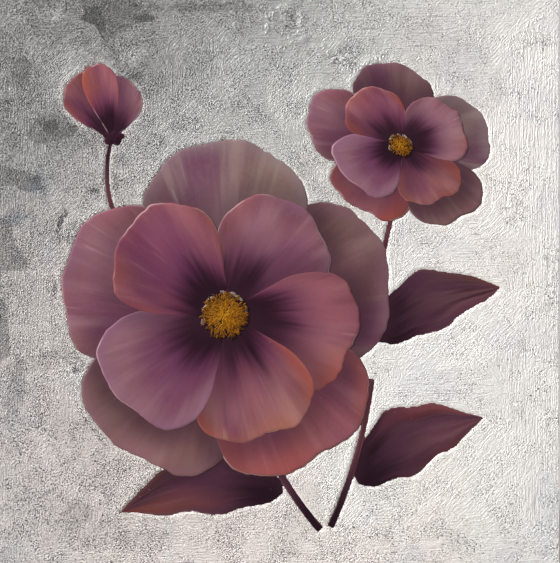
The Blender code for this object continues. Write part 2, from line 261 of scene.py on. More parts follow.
budBase = {"centre": (-57.5, 151), "tilt": (90, 0.8), "radius": 3.6, "waviness": 0.14, "waves": 5}
stems = {
    # three points of a bend, first and last width
    "stem_large": ((16, 12), (-2, 32), (-10, 60), 3.2, 2.4),
    "stem_small_lower": ((19, 13), (30, 36), (34, 66), 3.0, 2.4),
    "stem_small_upper": ((35, 96), (38, 112), (43, 132), 2.4, 2.2),
    "stem_bud": ((-58, 151), (-63, 132), (-54, 118), 1.8, 2.2),
}
leaves = {
    # base, tip, half width, bend, waves along the edge
    "leaf_lower_right": ((27, 29.5), (74, 52), 12, 5, 6),
    "leaf_lower_left": ((4, 27), (-56, 18), 11, -6, 6),
    "leaf_upper": ((34, 80), (80, 98), 11, 5, 5),
}


def tilted(points, centre, tilt):
    # narrows points about a centre along one direction, as a bloom that leans away looks
    axis = np.array([np.cos(np.radians(tilt[0])), np.sin(np.radians(tilt[0]))])
    away = points - np.array(centre, float)
    return points - (away @ axis)[..., None] * axis * (1 - tilt[1])


def around(bloom, reach, turn):
    # points at a reach and a turn about a bloom's middle, narrowed as the bloom leans
    points = np.stack([reach * np.cos(turn), reach * np.sin(turn)], -1) + np.array(bloom["centre"])
    return tilted(points, bloom["centre"], bloom["tilt"])


def petalGrid(bloom, petal, u, v):
    # points of a petal: v runs from its root to a wavy tip line, u across its fan
    direction, spread, length, droop, ruffle = petal
    phase = np.radians(direction)
    wave = np.sin(5.3 * u + phase) + 0.55 * np.sin(11.7 * u + 2.1 * phase)
    ragged = 0.35 * speckle(u * length, phase * 40, 3.1, 11) + 0.2 * speckle(u * length, phase * 40, 1.1, 12)
    reach = length * (1 - droop * np.abs(u) ** 3 - 0.13 * np.abs(u) ** 11) * (1 + ruffle * wave) + ragged
    angle = np.radians(direction + spread * u)
    tip = np.stack([reach * np.cos(angle), reach * np.sin(angle)], -1)
    root = -bloom["root"] * np.array([np.cos(phase), np.sin(phase)])
    points = root + v[..., None] * (tip - root) + np.array(bloom["centre"])
    return tilted(points, bloom["centre"], bloom["tilt"])


def petalOutline(bloom, petal):
    # from the root to one corner of the tip line and along it; the polygon closes at the root
    u = np.linspace(-1, 1, 121)
    tip = petalGrid(bloom, petal, u, np.ones_like(u))
    root = petalGrid(bloom, petal, np.zeros(1), np.zeros(1))
    return np.vstack([root, tip])


def ringLine(bloom, radius, waviness, waves, count=96):
    # a round line with a wavy rim about a centre
    turn = np.linspace(0, 2 * np.pi, count, endpoint=False)
    reach = radius * (1 + waviness * np.sin(waves * turn + 0.7))
    return around(bloom, reach, turn)


def leafGrid(leaf, u, v):
    # points of a leaf: v along its bowed midrib, u across, with a gently waved edge
    base, tip, width, bend, waves = leaf
    base, tip = np.array(base, float), np.array(tip, float)
    along = tip - base
    side = np.array([-along[1], along[0]]) / np.linalg.norm(along)
    share = 0.02 + 0.975 * v
    half = width * np.sin(np.pi * share ** 0.8) ** 0.9 * (1 + 0.08 * np.sin(waves * np.pi * share))
    half = half + 0.25 * speckle(share * 60, u * 0 + np.sign(u) * 5, 1.6, 21)
    rib = base + share[..., None] * along + (np.sin(np.pi * share) * bend)[..., None] * side
    return rib + (u * half)[..., None] * side


def stemGrid(stem, u, v):
    # points of a stroke: v along a smooth bend through three points, u across its tapering width
    start, through, end = (np.array(p, float) for p in stem[:3])
    w = v[..., None]
    line = (1 - w) ** 2 * start + 2 * w * (1 - w) * through + w ** 2 * end
    along = 2 * (1 - w) * (through - start) + 2 * w * (end - through)
    side = np.stack([-along[..., 1], along[..., 0]], -1)
    side = side / np.linalg.norm(side, axis=-1)[..., None]
    half = (stem[3] + (stem[4] - stem[3]) * v) / 2
    return line + (u * half)[..., None] * side


def gridOutline(makeGrid, item):
    # once round the edge of a leaf or a stem
    t = np.linspace(0, 1, 60)
    one = np.ones_like(t)
    return np.vstack([makeGrid(item, one, t), makeGrid(item, -one, t[::-1])])


petalAreas = {
    bloom["name"]: [petalOutline(bloom, petal) for petal in bloom["outer"] + bloom.get("inner", [])]
    for bloom in (largeBloom, smallBloom, bud)
}
stemAreas = {name: gridOutline(stemGrid, stem) for name, stem in stems.items()}
leafAreas = {name: gridOutline(leafGrid, leaf) for name, leaf in leaves.items()}
calyxArea = ringLine(budBase, budBase["radius"], budBase["waviness"], budBase["waves"])
allAreas = [line for group in petalAreas.values() for line in group]
allAreas += list(stemAreas.values()) + list(leafAreas.values()) + [calyxArea]


def outerLine(areas):
    # points along the edge of all areas taken together: those of each edge that lie in no other area
    kept = []
    for number, area in enumerate(areas):
        dots = resample(area, 0.25)
        covered = np.zeros(len(dots), bool)
        for other, line in enumerate(areas):
            if other != number:
                covered |= inside(dots, line)
        kept.append(dots[~covered])
    return np.vstack(kept)


sprayEdge = outerLine(allAreas)
print("spray drawn:", len(allAreas), "areas,", len(sprayEdge), "points round the whole")


# the ground: gesso brushed thick up to the drawing, with silver leaf over it
groundLook = {
    "points": 311,  # along each side
    "level": 0.34,  # mm of gesso above the flat sheet
    "lip": 0.12,  # mm that the gesso piles up against the drawing
    "lipWidth": 1.7,  # mm
    "ridge": 0.02,  # mm, height of the broad brush ridges
    "underPaint": 0.05,  # mm, the scraped gesso that the paint lies on
    "snap": 0.36,  # mm within which grid points move on to the drawing's edge
    "sideRun": 24, "footRun": 22, "drawingRun": 26,  # mm within which the brush ran along each of these
    "borderPull": 1.6, "drawingPull": 1.5, "wanderPull": 0.6,  # how much each turned the brush
    "edgeDrop": 0.04,  # mm that the gesso sinks at the panel's border
}
# single ridges (or grooves, where the height is below 0): width and height in mm, and the points of each
ridges = [
    (0.7, 0.08, [(95.2, 4), (95.8, 60), (94.9, 120), (95.6, 197)]),
    (0.6, 0.07, [(97.6, 30), (97.9, 100), (97.4, 160)]), (0.9, 0.08, [(5, 5.2), (50, 6.0), (98, 4.6)]),
    (0.6, -0.14, [(79, 121), (86, 143)]), (0.5, -0.12, [(83, 118), (88.5, 131)]),
    (0.5, -0.1, [(68, 134), (71.5, 142)]), (0.5, 0.1, [(74, 170), (80, 178)]),
    (0.7, 0.07, [(-60, 197), (10, 196), (70, 197.4)]), (0.7, 0.06, [(-96, 20), (-95, 90), (-96.4, 180)]),
    (0.6, -0.1, [(57, 41), (61, 47)]), (0.5, -0.3, [(49, 44), (50.5, 46)]),
    (0.8, 0.26, [(-3, 191.5), (-0.8, 195.2), (2.7, 196.6), (6.2, 197.2), (9.2, 194.6)]),
    (1.1, 0.3, [(2.6, 196), (3.4, 193.6), (4.4, 189.6)]),
    (0.8, -0.3, [(6.2, 195.4), (7.4, 192), (7.5, 188.6)]),
    (0.8, 0.34, [(7.8, 195.8), (9.6, 194.4), (9.2, 191.4), (8.6, 188)]),
    (0.7, 0.14, [(-2.2, 192.6), (-2.7, 189.2), (-3.8, 186)]),
    (0.8, 0.36, [(6.2, 183.2), (9.3, 185.2), (12.2, 187.8)]), (0.7, -0.24, [(10, 182.6), (13.6, 184.8)]),
    (0.8, 0.24, [(14, 182.8), (15.8, 180.6), (19.4, 178)]), (0.8, -0.28, [(14.5, 180.4), (12, 178.8)]),
    (0.7, -0.3, [(19.6, 178.4), (23.8, 180.2)]),
    (0.8, 0.36, [(21.4, 177.6), (25.2, 179), (29, 180.4), (30.6, 182.4)]),
    (0.7, 0.22, [(25.4, 181.8), (25.2, 179)]), (0.8, 0.2, [(-10, 177.2), (-7.4, 179)]),
    (0.6, 0.06, [(-50.5, 173.7), (-42, 174.3), (-25, 174)]),
    (0.7, -0.5, [(-77.6, 113), (-76.2, 121), (-73.4, 126.4)]), (0.7, -0.5, [(-67, 130.6), (-61, 133.4)]),
    (0.7, -0.2, [(-79.8, 95), (-79.4, 104)]), (0.6, -0.26, [(-76.4, 15.7), (-68.6, 21.3)]),
]
crumples = [((3, 191), 6.5, 0.16, 31), ((20, 180.5), 8, 0.12, 33), ((62, 186), 9, 0.08, 35)]


def brushRuns(x, z, gap, awayX, awayZ):
    # which way the brush ran at each point, as the cosine and sine of twice its angle, so that opposite ways
    # are the same: up beside the left and right edges, across along the others, round the drawing near it,
    # and a slow wander between them
    sideways = panelHalf - np.abs(x) + 5 * speckle(x, z, 22, 3)
    updown = np.minimum(z, panelTop - z) + 5 * speckle(x, z, 22, 4)
    upright = groundLook["borderPull"] * (1 - ease(sideways, 3, groundLook["sideRun"]))
    level = groundLook["borderPull"] * (1 - ease(updown, 3, groundLook["footRun"]))
    near = groundLook["drawingPull"] * (1 - ease(gap, 3, groundLook["drawingRun"]))
    wander = np.pi * (0.45 + 0.6 * speckle(x, z, 24, 5) + 0.25 * speckle(x, z, 8, 16))
    free = groundLook["wanderPull"]
    runAcross = level - upright - near * (awayX ** 2 - awayZ ** 2) + free * np.cos(wander)
    runRising = -near * 2 * awayX * awayZ + free * np.sin(wander)
    whole = np.maximum(np.hypot(runAcross, runRising), 0.05)
    return runAcross / whole, runRising / whole


def dotsAlong(line, count):
    # evenly numbered points along an open line
    line = np.array(line, float)
    t = np.linspace(0, len(line) - 1, count)
    return t, np.stack([np.interp(t, range(len(line)), line[:, k]) for k in (0, 1)], 1)


def bumpsAlong(x, z, line, width, height, seed):
    # a wavering ridge along an open line of points, thinning to its ends
    t, dots = dotsAlong(line, 90)
    dots += 0.5 * np.stack([speckle(t * 9, 0, 2.3, seed), speckle(t * 9, 0, 2.3, seed + 1)], 1)
    gap, which = nearest(flatPoints(x, z), dots)
    strength = np.sin(np.pi * (which + 0.5) / 90) * (0.85 + 0.15 * speckle(which, 0, 14, seed + 2))
    return (height * strength * np.exp(-((gap / width) ** 2))).reshape(x.shape)


def crumple(x, z, centre, radius, height, seed):
    # a patch of creased leaf: crossed short ridges within a soft round area
    away = np.hypot(x - centre[0], (z - centre[1]) * 1.3) / radius
    creases = 1 - np.abs(speckle(x + z, x - z, 2.4, seed)) * 2.4
    cross = 1 - np.abs(speckle(x * 0.6 - z, z * 0.7, 1.9, seed + 1)) * 2.4
    return height * np.maximum(creases, cross).clip(0, 1) * (1 - ease(away, 0.35, 1.1))


def groundShape():
    # a square grid whose points near the drawing's edge move on to it: points across and up, height above
    # the flat sheet, mm to the drawing (below 0 under it), and which way the brush ran
    count = groundLook["points"]
    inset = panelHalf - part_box("ground")[1][0] / mm
    z, x = np.meshgrid(np.linspace(inset, panelTop - inset, count),
                       np.linspace(-panelHalf + inset, panelHalf - inset, count))
    flat = flatPoints(x, z)
    gap, which = nearest(flat, sprayEdge)
    under = np.zeros(len(flat), bool)
    for line in allAreas:
        low, high = line.min(0), line.max(0)
        close = np.all((flat >= low) & (flat <= high), 1)
        under[close] |= inside(flat[close], line)
    signed = np.where(under, -gap, gap)
    onEdge = gap < groundLook["snap"]
    flat[onEdge] = sprayEdge[which[onEdge]]
    signed[onEdge] = 0
    x, z = flat[:, 0].reshape(x.shape), flat[:, 1].reshape(x.shape)
    signed = signed.reshape(x.shape)
    away = flat - sprayEdge[which]
    away = (away / np.maximum(np.hypot(away[:, 0], away[:, 1]), 0.01)[:, None]).T.reshape(2, *x.shape)
    outside = np.maximum(signed, 0)
    runs = brushRuns(x, z, outside, away[0], away[1])
    border = np.minimum(panelHalf - np.abs(x), np.minimum(z, panelTop - z)) - inset

    # slow waves, then the broad brush ridges along the way the brush ran
    height = groundLook["level"] + 0.06 * speckle(x, z, 31, 6) + 0.03 * speckle(x, z, 11, 7)
    ways = ((-runs[0], x, z), (runs[0], z, x), (runs[1], z - x, z + x), (-runs[1], z + x, z - x))
    for mask, wide, long in ways:
        marks = speckle(wide, long * 0.12, 1.9, 8) + speckle(wide, long * 0.3, 1.4, 9)
        height += groundLook["ridge"] * np.maximum(mask, 0) * marks
    height += 0.015 * speckle(x, z, 1.5, 10) + 0.012 * speckle(x, z, 3.1, 15)
    # the lip that piled up against the drawing, lumpy and here and there gone
    pile = 0.6 + 0.6 * speckle(x, z, 6, 13) + 0.35 * speckle(x, z, 2.0, 14)
    lip = groundLook["lip"] * pile * np.exp(-((outside / groundLook["lipWidth"]) ** 2))
    height += lip * ease(outside, -0.2, 0.7)
    height += 0.08 * np.exp(-outside / 5)
    for centre, radius, rise, seed in crumples:
        height += crumple(x, z, centre, radius, rise, seed)
    for number, (width, rise, line) in enumerate(ridges):
        height += bumpsAlong(x, z, line, width, rise, 41 + 3 * number)
    height -= groundLook["edgeDrop"] * (1 - ease(border, -0.1, 0.5)) ** 2
    hidden = ease(-signed, -0.01, 0.4)
    height = height * (1 - hidden) + groundLook["underPaint"] * hidden
    height[signed == 0] = np.minimum(height[signed == 0], groundLook["level"])
    return x, z, height, signed, runs


x, z, height, signed, runs = groundShape()
# torn scraps of leaf that dulled more than the rest, and darker ones
scraps = {
    "dullScrap": [
        [(-69.4, 199.4), (-68, 194.8), (-69.2, 192.5), (-63.8, 190.3), (-60.2, 184.2), (-58.8, 185.5),
         (-53.4, 189), (-50, 191), (-43.6, 191.8), (-42.2, 193.4), (-46.2, 196.2), (-49.5, 199.4)],
        [(-84.3, 157.8), (-79.3, 159.9), (-75.6, 157.9), (-69.4, 154.2), (-72, 151.2), (-77, 149.9),
         (-84, 148.2), (-88, 151), (-87, 155)],
        [(-99.5, 123.5), (-93.4, 121), (-92.3, 113), (-87.7, 107), (-88, 103.7), (-99.5, 103.8)],
        [(-99.5, 142), (-90, 139), (-84, 137.5), (-82, 133), (-88, 131.4), (-93, 134), (-99.5, 133)],
        [(-99.5, 96), (-95, 92), (-94, 74), (-99.5, 70)],
        [(-94, 176), (-89, 180), (-86, 176), (-88, 169), (-93, 168)],
    ],
    "darkScrap": [
        [(-68.6, 197.6), (-62.6, 197), (-61.2, 194.6), (-60.2, 190), (-62, 188), (-59.4, 184.2),
         (-61.4, 185.6), (-64.2, 190.6), (-69.2, 192.6), (-68, 194.8)],
        [(-51, 193.6), (-46, 194.8), (-42.4, 193.4), (-43.8, 191.8), (-49, 191.6)],
        [(-82, 156.6), (-78, 157.8), (-76.6, 154), (-79.2, 151.8), (-82.4, 153)],
    ],
}


def scrapsOn(x, z, shapes):
    # mm to the torn edge of the nearest scrap of leaf, positive inside it
    points = flatPoints(x, z)
    deep = np.full(len(points), -9.0)
    for line in shapes:
        line = np.array(line, float)
        gap = nearest(points, resample(line, 0.3))[0]
        deep = np.maximum(deep, np.where(inside(points, line), gap, -gap))
    return deep.reshape(x.shape)


# cloudy blots: middle, half width and height, turn in degrees, and how much duller (or brighter) the leaf is
blots = [
    ((-85, 136), (4.5, 3), 20, 0.14), ((-83, 133), (2.2, 1.2), 0, 0.14), ((-52, 170), (5, 3), 30, 0.12),
    ((-24, 197), (26, 2), 0, 0.12), ((28, 183), (12, 4), 8, 0.06), ((-62, 172), (7, 5), 40, -0.12),
    ((-52, 180), (6, 4), 20, -0.1), ((-74, 178), (9, 4), 30, -0.06), ((-80, 194), (6, 3), 0, -0.1),
    ((52, 189), (11, 4), -8, 0.07), ((78, 172), (7, 9), -20, 0.03),
    ((-92, 62), (4, 12), 0, 0.16), ((-70, 18), (7, 4), 25, 0.15), ((-62, 26), (6, 3), 0, 0.1),
    ((82, 74), (9, 5), 15, 0.05), ((30, 8), (14, 4), 0, 0.06), ((-45, 10), (12, 4), 6, 0.08),
]
# painted shade on the leaf, by mm along a slanting line from the lower right to the upper left
shadeGradientAt, paintedShadeGradient = [0, 30, 60, 90, 115, 150, 190], [0.08, 0.19, 0.34, 0.39, 0.49, 0.7, 0.78]


def tarnishAndShadeOn(x, z):
    # where the leaf has dulled in soft cloudy patches, and an even, slow painted shade that darkens it
    # towards the upper left
    # painted shade: darker towards the upper left and near the top, lighter to the right
    total = np.interp(0.76 * -x + 0.65 * z, shadeGradientAt, paintedShadeGradient)
    total = np.maximum(total - 0.26 * ease(x, 0, 90), 0) + 0.06 * ease(z, 120, 165)
    torn = 0.5 * speckle(x, z, 4.5, 81) + 0.4 * speckle(x, z, 1.6, 82)
    for (cx, cz), (rx, rz), turn, strength in blots:
        c, s = np.cos(np.radians(turn)), np.sin(np.radians(turn))
        px, pz = (x - cx) * c + (z - cz) * s, (z - cz) * c - (x - cx) * s
        away = np.hypot(px / rx, pz / rz) + 0.75 * torn
        total = total + strength * (1 - ease(away, 0.6, 1.1))
    total = total * (1 + 0.05 * speckle(x, z, 1.6, 83)) + 0.02 * speckle(x, z, 14, 84)
    return np.clip(total, 0, 1)


def tintsOn(x, z):
    # warmer towards the lower left, cooler in a few clouds at the left and the upper right
    warmth = 0.45 + 0.35 * speckle(x, z, 28, 87) + 0.45 * ease(-x - 0.7 * (z - 100), -20, 120)
    warmth = warmth - 0.5 * ease(z - 0.4 * x, 110, 190)
    coolness = ease(speckle(x, z, 16, 88) + 0.35 * speckle(x, z, 5, 89), 0.25, 0.8) * 0.22
    for (cx, cz), radius in (((-84, 135), 5), ((-54, 171), 4), ((-92, 122), 4)):
        away = np.hypot(x - cx, z - cz) / radius + 0.4 * speckle(x, z, 3, 90)
        coolness = np.maximum(coolness, 0.9 * (1 - ease(away, 0.3, 1.2)))
    return np.clip(warmth, 0, 1), np.clip(coolness, 0, 1)


def overlapsOn(x, z):
    # the doubled leaf where one square lies over the next, seen as slightly brighter straight bands
    band = np.zeros_like(x)
    # each seam: its place in mm, its turn in degrees, its width in mm
    upright, level = ((-38, 1.2, 3.0), (41, -0.8, 3.0)), ((66, 0.7, 2.8), (146, -1.0, 2.8))
    for seams, over, along, middle, seed in ((upright, x, z, panelTop / 2, 91), (level, z, x, 0, 92)):
        for at, turn, width in seams:
            line = over - at - np.tan(np.radians(turn)) * (along - middle) + 0.6 * speckle(along, 0, 5, seed)
            band = np.maximum(band, ease(line, 0, 0.3) * (1 - ease(line, width - 0.4, width)))
    return band


def cracksAndShadeOn(x, z, signed):
    # where fine cracks and pits gather: in the creases and along the right side; and painted shade beside
    # the drawing, mostly on its left side
    left = ease(-x, 20, 60)
    # painted shade at the foot of the lip, 1.8 mm outside the drawing
    troughShade = np.exp(-(((signed - 1.8) / 1.2) ** 2)) * ease(speckle(x, z, 9, 95), -0.1, 0.5)
    total = troughShade * (0.35 + 0.65 * left)
    for (cx, cz), radius, strength in (((3, 191), 7, 0.7), ((25, 178.5), 9, 0.6), ((84, 125), 9, 0.5),
                                       ((93, 60), 8, 0.5), ((70, 188), 12, 0.4), ((93, 185), 8, 0.5)):
        total = np.maximum(total, strength * (1 - ease(np.hypot(x - cx, z - cz), radius * 0.4, radius)))
    total = np.maximum(total, 0.45 * ease(x, 86, 97) * ease(speckle(x, z, 12, 96), -0.3, 0.4))
    # painted shade along the grooves beside the drawing's left side
    shadedGrooves = ([(-77.2, 112), (-75.8, 121), (-73, 127)], [(-67, 130.8), (-62, 133.0)],
               [(-78.6, 94), (-78.4, 101)], [(-70, 66), (-71.4, 72)])
    for number, line in enumerate(shadedGrooves):
        total = np.maximum(total, bumpsAlong(x, z, line, 1.0, 2.4, 140 + 3 * number))
    return total


# creased bands of leaf: width in mm, strength, and the points of each
creased = [
    (2.2, 1.0, [(-4, 189), (-1, 195.5), (4.5, 196.5), (8, 190)]),
    (1.4, 0.7, [(8.5, 190), (6, 185.5), (1, 181.5)]),
    (1.0, 0.7, [(-7, 176.5), (-4, 179)]), (2.0, 0.9, [(17, 182), (22, 177), (28, 174.5)]),
    (1.4, 1.0, [(28, 174.5), (34, 177.5), (39, 180.5)]), (1.2, 0.5, [(70, 188), (75, 183)]),
    (1.2, 0.4, [(60, 166), (63, 171)]), (1.2, 0.7, [(89, 191), (94, 193)]),
    (1.0, 0.5, [(82, 183), (84, 187)]),
]


def crumpledOn(x, z):
    # where the leaf creased as it was laid: bands along a few bent lines, strongest in their middle
    total = np.zeros_like(x)
    for width, strength, line in creased:
        dots = dotsAlong(line, 60)[1]
        gap = nearest(flatPoints(x, z), dots)[0].reshape(x.shape) + 0.6 * speckle(x, z, 2.0, 97)
        total = np.maximum(total, strength * (1 - ease(gap, width * 0.4, width)))
    return total


warmth, coolness = tintsOn(x, z)
# the dulled leaf and the painted shade gradient together
tarnish = tarnishAndShadeOn(x, z)
# the leaf beside the drawing's left side is lighter, here and there
besideDrawing = np.exp(-((np.maximum(signed, 0) / 2.4) ** 2))
kept = 0.02 + 0.3 * ease(speckle(x, z, 9, 98), -0.2, 0.6) * ease(-x, 40, 75)
# the gesso is coarser at the left, at the foot, where the leaf has dulled and where painted shade darkens it
coarseness = 0.88 + 0.22 * np.tanh((-x - 20) / 50) + 0.28 * ease(100 - z, 0, 90) + 0.45 * tarnish
ground = closedRelief(
    "leafed_ground", x, z, groundFront - height, groundBack,
    {"runAcross": runs[0], "runRising": runs[1], "tarnish": tarnish * (1 - kept * besideDrawing),
     "warmth": warmth, "coolness": coolness, "coarseness": coarseness, "doubled": overlapsOn(x, z),
     "cracking": cracksAndShadeOn(x, z, signed), "crumpled": crumpledOn(x, z),
     "fromDrawing": np.clip(signed, -2, 60),
     **{name: scrapsOn(x, z, shapes) for name, shapes in scraps.items()}})
print("ground made:", len(ground.data.vertices), "points")

leafLook = {
    # mm, cells of the grain; the real crumbs are finer, and are drawn at this size so that they show
    "streakLong": 0.8, "streakWide": 0.37, "crumb": 0.38,
    "grainDepth": 0.64,  # mm of relief from the lowest to the highest grain
    # painted shade in the hollows of the grain
    "hollowShade": 0.86,  # how much the hollows of the grain are darkened
    "rubbed": 0.1,  # how much less the crests of dulled leaf have dulled than its hollows
    # how strongly each of these shows
    "streaks": 0.68, "crumbs": 0.62, "pits": 0.8, "cracks": 0.6, "flecks": 0.3, "overlaps": 0.3, "bare": 0.2,
    "dullScrap": 0.42, "darkScrap": 0.56,
    "metallic": 0.32, "roughness": 0.5,
    "light": "#e7e7e4", "warm": "#e9e0dd", "cool": "#bfc5cf", "dull": "#444343", "pit": "#35312f",
    "scrap": "#2c2b2c", "clay": "#cfc3bc", "gesso": "#e2d9d3",
}


def silverLeaf():
    # silver leaf, burnished by hand on brushed gesso and varnished: a soft grey-white metal that shines
    # unevenly, with the bristle marks under it, dull torn patches, small dark pits where it didn't take, and
    # painted shade in the hollows of its grain and slowly towards the upper left
    material, add, setShader = newMaterial("silver_leaf_on_brushed_gesso")
    where = add("TexCoord")
    # brush grain along four directions, each as strong as the strokes run that way: fine short streaks,
    # broader ones of a few hairs together, ridges left by single bristles and rare deeper scores
    across, rising = (add("Attribute", attribute_name=name) for name in ("runAcross", "runRising"))
    runs = {0: across, 45: rising, 90: add("MULTIPLY", across, -1.0), 135: add("MULTIPLY", rising, -1.0)}
    streaks, broad, scores, bristles = 0.0, 0.0, 0.0, 0.0
    for turn, run in runs.items():
        allowed = add("MAXIMUM", run, 0.0)

        def drawn(long, wide, shift):
            # noise drawn out along this direction, with cells of long by wide mm
            at = add("Mapping", where, vector_type="TEXTURE", Location=(shift, 0, shift),
                     Rotation=(0, -np.radians(turn), 0), Scale=(long * mm, 1, wide * mm))
            return add("SUBTRACT", add("TexNoise", at, 1.0, 1.0, 0.6), 0.5)

        short = drawn(leafLook["streakLong"], leafLook["streakWide"], 0.3)
        streaks = add("MULTIPLY_ADD", short, allowed, streaks)
        broad = add("MULTIPLY_ADD", drawn(3.4, 0.62, 0.7), allowed, broad)
        if turn in (0, 90):
            lines = drawn(18.0, 0.5, 0.1)
            often = add("MapRange", run, 0.62, 0.95)
            scores = add("MULTIPLY_ADD", add("MapRange", lines, 0.19, 0.25), often, scores)
            bristles = add("MULTIPLY_ADD", lines, often, bristles)
    # crumbs of gesso, the same in all directions
    crumbs = add("SUBTRACT", add("TexNoise", where, 1 / leafLook["crumb"] / mm, 1.0, 0.6), 0.5)
    # the grain is stronger in some places than in others, by patches of 6 mm and of 25 mm
    patches = add("MapRange", add("TexNoise", where, 1 / (6 * mm), 2.0), 0.35, 0.65, 0.5, 1.2)
    regions = add("MapRange", add("TexNoise", where, 1 / (25 * mm), 1.0), 0.35, 0.65, 0.85, 1.15)
    fineGrain = add("MULTIPLY", crumbs, leafLook["crumbs"])
    fineGrain = add("MULTIPLY_ADD", streaks, leafLook["streaks"], fineGrain)
    fineGrain = add("MULTIPLY", fineGrain, add("MULTIPLY", add("MULTIPLY", patches, regions), "coarseness"))
    # creases of the leaf: sharp crests where a noise crosses its middle
    fold = add("ABSOLUTE", add("SUBTRACT", add("TexNoise", where, 1 / (2.4 * mm), 1.0), 0.5))
    crease = add("MULTIPLY", add("MapRange", fold, 0.0, 0.11, 1.0, 0.0), "crumpled")
    grain = fineGrain
    for part, height in ((add("TexNoise", where, 1 / (4.5 * mm), 2.0), 0.3), (broad, 0.55), (bristles, 0.4),
                         (crease, 0.45)):
        grain = add("MULTIPLY_ADD", part, height, grain)
    # cracks: thin level lines of a slow noise, where the attribute lets them show
    wander = add("TexNoise", where, 1 / (3.4 * mm), 2.0)
    thin = add("MapRange", add("ABSOLUTE", add("SUBTRACT", wander, 0.5)), 0.008, 0.03, 1.0, 0.0)
    cracks = add("MULTIPLY", thin, add("MapRange", "cracking", 0.25, 0.7))
    cracks = add("MAXIMUM", cracks, scores)
    # pits: the deepest points of the grain, thicker where the cracks and the painted shade gather;
    # painted dark, for the shade inside them and for the gesso where the leaf didn't take
    pitLevel = add("MULTIPLY_ADD", "cracking", 0.11, -0.13)
    pits = add("MapRange", add("SUBTRACT", pitLevel, fineGrain), 0.0, 0.03)
    # the leaf has dulled in the hollows of the grain and along broad strokes, and stayed bright on crests
    rubbed = add("MapRange", fineGrain, -0.12, 0.12, 1 + leafLook["rubbed"], 1 - leafLook["rubbed"])
    rubbed = add("MULTIPLY_ADD", broad, -0.5, rubbed)
    tear = add("MULTIPLY", add("SUBTRACT", add("TexNoise", where, 1 / (1.3 * mm), 2.0, 0.6), 0.5), 0.7)
    dull, dark = (add("MapRange", add("ADD", scrap, tear), -0.1, 0.2, 0.0, leafLook[scrap])
                  for scrap in ("dullScrap", "darkScrap"))
    # bare gesso shows as a chalky line against the drawing, less where the leaf is dulled and painted darker
    worn = add("MapRange", add("TexNoise", where, 1 / (1.1 * mm), 2.0), 0.4, 0.6)
    bare = add("MULTIPLY", add("MapRange", "fromDrawing", 0.8, 3.0, leafLook["bare"], 0.0), worn)
    bare = add("MULTIPLY", add("MapRange", "tarnish", 0.3, 0.8, 1.0, 0.4), bare)
    # cloudy flecks where the clay under the leaf shows through
    moved = add("Mapping", where, Location=(0.31, 0.2, 0.7))
    fleck = add("TexNoise", moved, 1 / (2.6 * mm), 2.0)
    base = add("Mix", "warmth", leafLook["light"], leafLook["warm"])
    base = layered(add, base, [
        ("coolness", leafLook["cool"]),
        (fleck, 0.56, 0.72, 0, leafLook["flecks"], leafLook["clay"]),
        (add("MULTIPLY", "doubled", leafLook["overlaps"]), "#e4e3e1"),
        # dulled leaf, and the painted shade that darkens the leaf towards the upper left
        (add("MULTIPLY", "tarnish", rubbed), leafLook["dull"]),
        (dull, leafLook["scrap"]),
        (dark, leafLook["scrap"]),
        # painted shade in the hollows of the grain
        (fineGrain, -0.17, -0.03, leafLook["hollowShade"], 0.0, leafLook["pit"]),
        (add("MULTIPLY", pits, leafLook["pits"]), "#292a30"),
        (add("MULTIPLY", cracks, leafLook["cracks"]), leafLook["pit"]),
        (bare, leafLook["gesso"]),
    ])
    rough = add("MapRange", fleck, 0.3, 0.7, leafLook["roughness"] - 0.04, leafLook["roughness"] + 0.06)
    relief = add("MULTIPLY_ADD", cracks, -0.25, grain)
    setShader({"Base Color": base, "Metallic": leafLook["metallic"], "Roughness": rough,
               "Normal": add("Bump", 1.0, leafLook["grainDepth"] * mm, Height=relief)})
    return material


dress(ground, silverLeaf(), "ground")


# oil paint: films that lie in the hollow of the ground, one for each petal, leaf and stroke
linseedOil = 1.48  # its refractive index
filmLook = {
    "outer": 0.34, "inner": 0.6,  # mm, thickness of the rearmost petal of each ring
    "step": 0.05,  # mm that each petal lies above the one behind it
    "leaf": 0.2, "stem": 0.26,  # mm
    "roll": 0.3,  # mm over which a film's edge rolls down
    "petalPoints": (110, 76), "smallPoints": (76, 50),  # across a petal, and along it
    "petalRidges": 22, "leafRidges": 9, "stemRidges": 3,  # bristle marks across each
}


def sides(count):
    # from -1 to 1 with more points near both ends
    return np.sin(np.linspace(-np.pi / 2, np.pi / 2, count))


def film(name, grid, outline, u, v, thickness, covers, seed, ridgeCount):
    # a film of paint: flat in its middle, rolled down at its edge, with shallow bristle marks along v.
    # The attributes are mm from its own edge, mm from the marks that lie over it, and a number of its own
    flat = grid.reshape(-1, 2)
    rim = nearest(flat, resample(outline, 0.15))[0].reshape(u.shape)
    covered = np.full(len(flat), 60.0)
    for line in covers:
        gap = nearest(flat, resample(line, 0.4))[0]
        covered = np.minimum(covered, np.where(inside(flat, line), 0, gap))
    marks = 0.007 * speckle(u * ridgeCount, v * 5, 1.0, 101)
    marks += 0.004 * speckle(u * ridgeCount * 2.3, v * 9, 1.0, 102)
    swell = 0.01 * speckle(u * 3, v * 3, 1.0, 103)
    roll = 1 - 0.75 * np.exp(-rim / filmLook["roll"])
    top = thickness * roll + (marks + swell) * ease(rim, 0, 1.5)
    front = groundFront - groundLook["underPaint"] - top
    return closedRelief(
        name, grid[..., 0], grid[..., 1], front, groundFront,
        {"rimGap": rim, "underGap": covered.reshape(u.shape), "ownNumber": np.full(u.shape, float(seed))},
        ((u + 1) / 2, v))


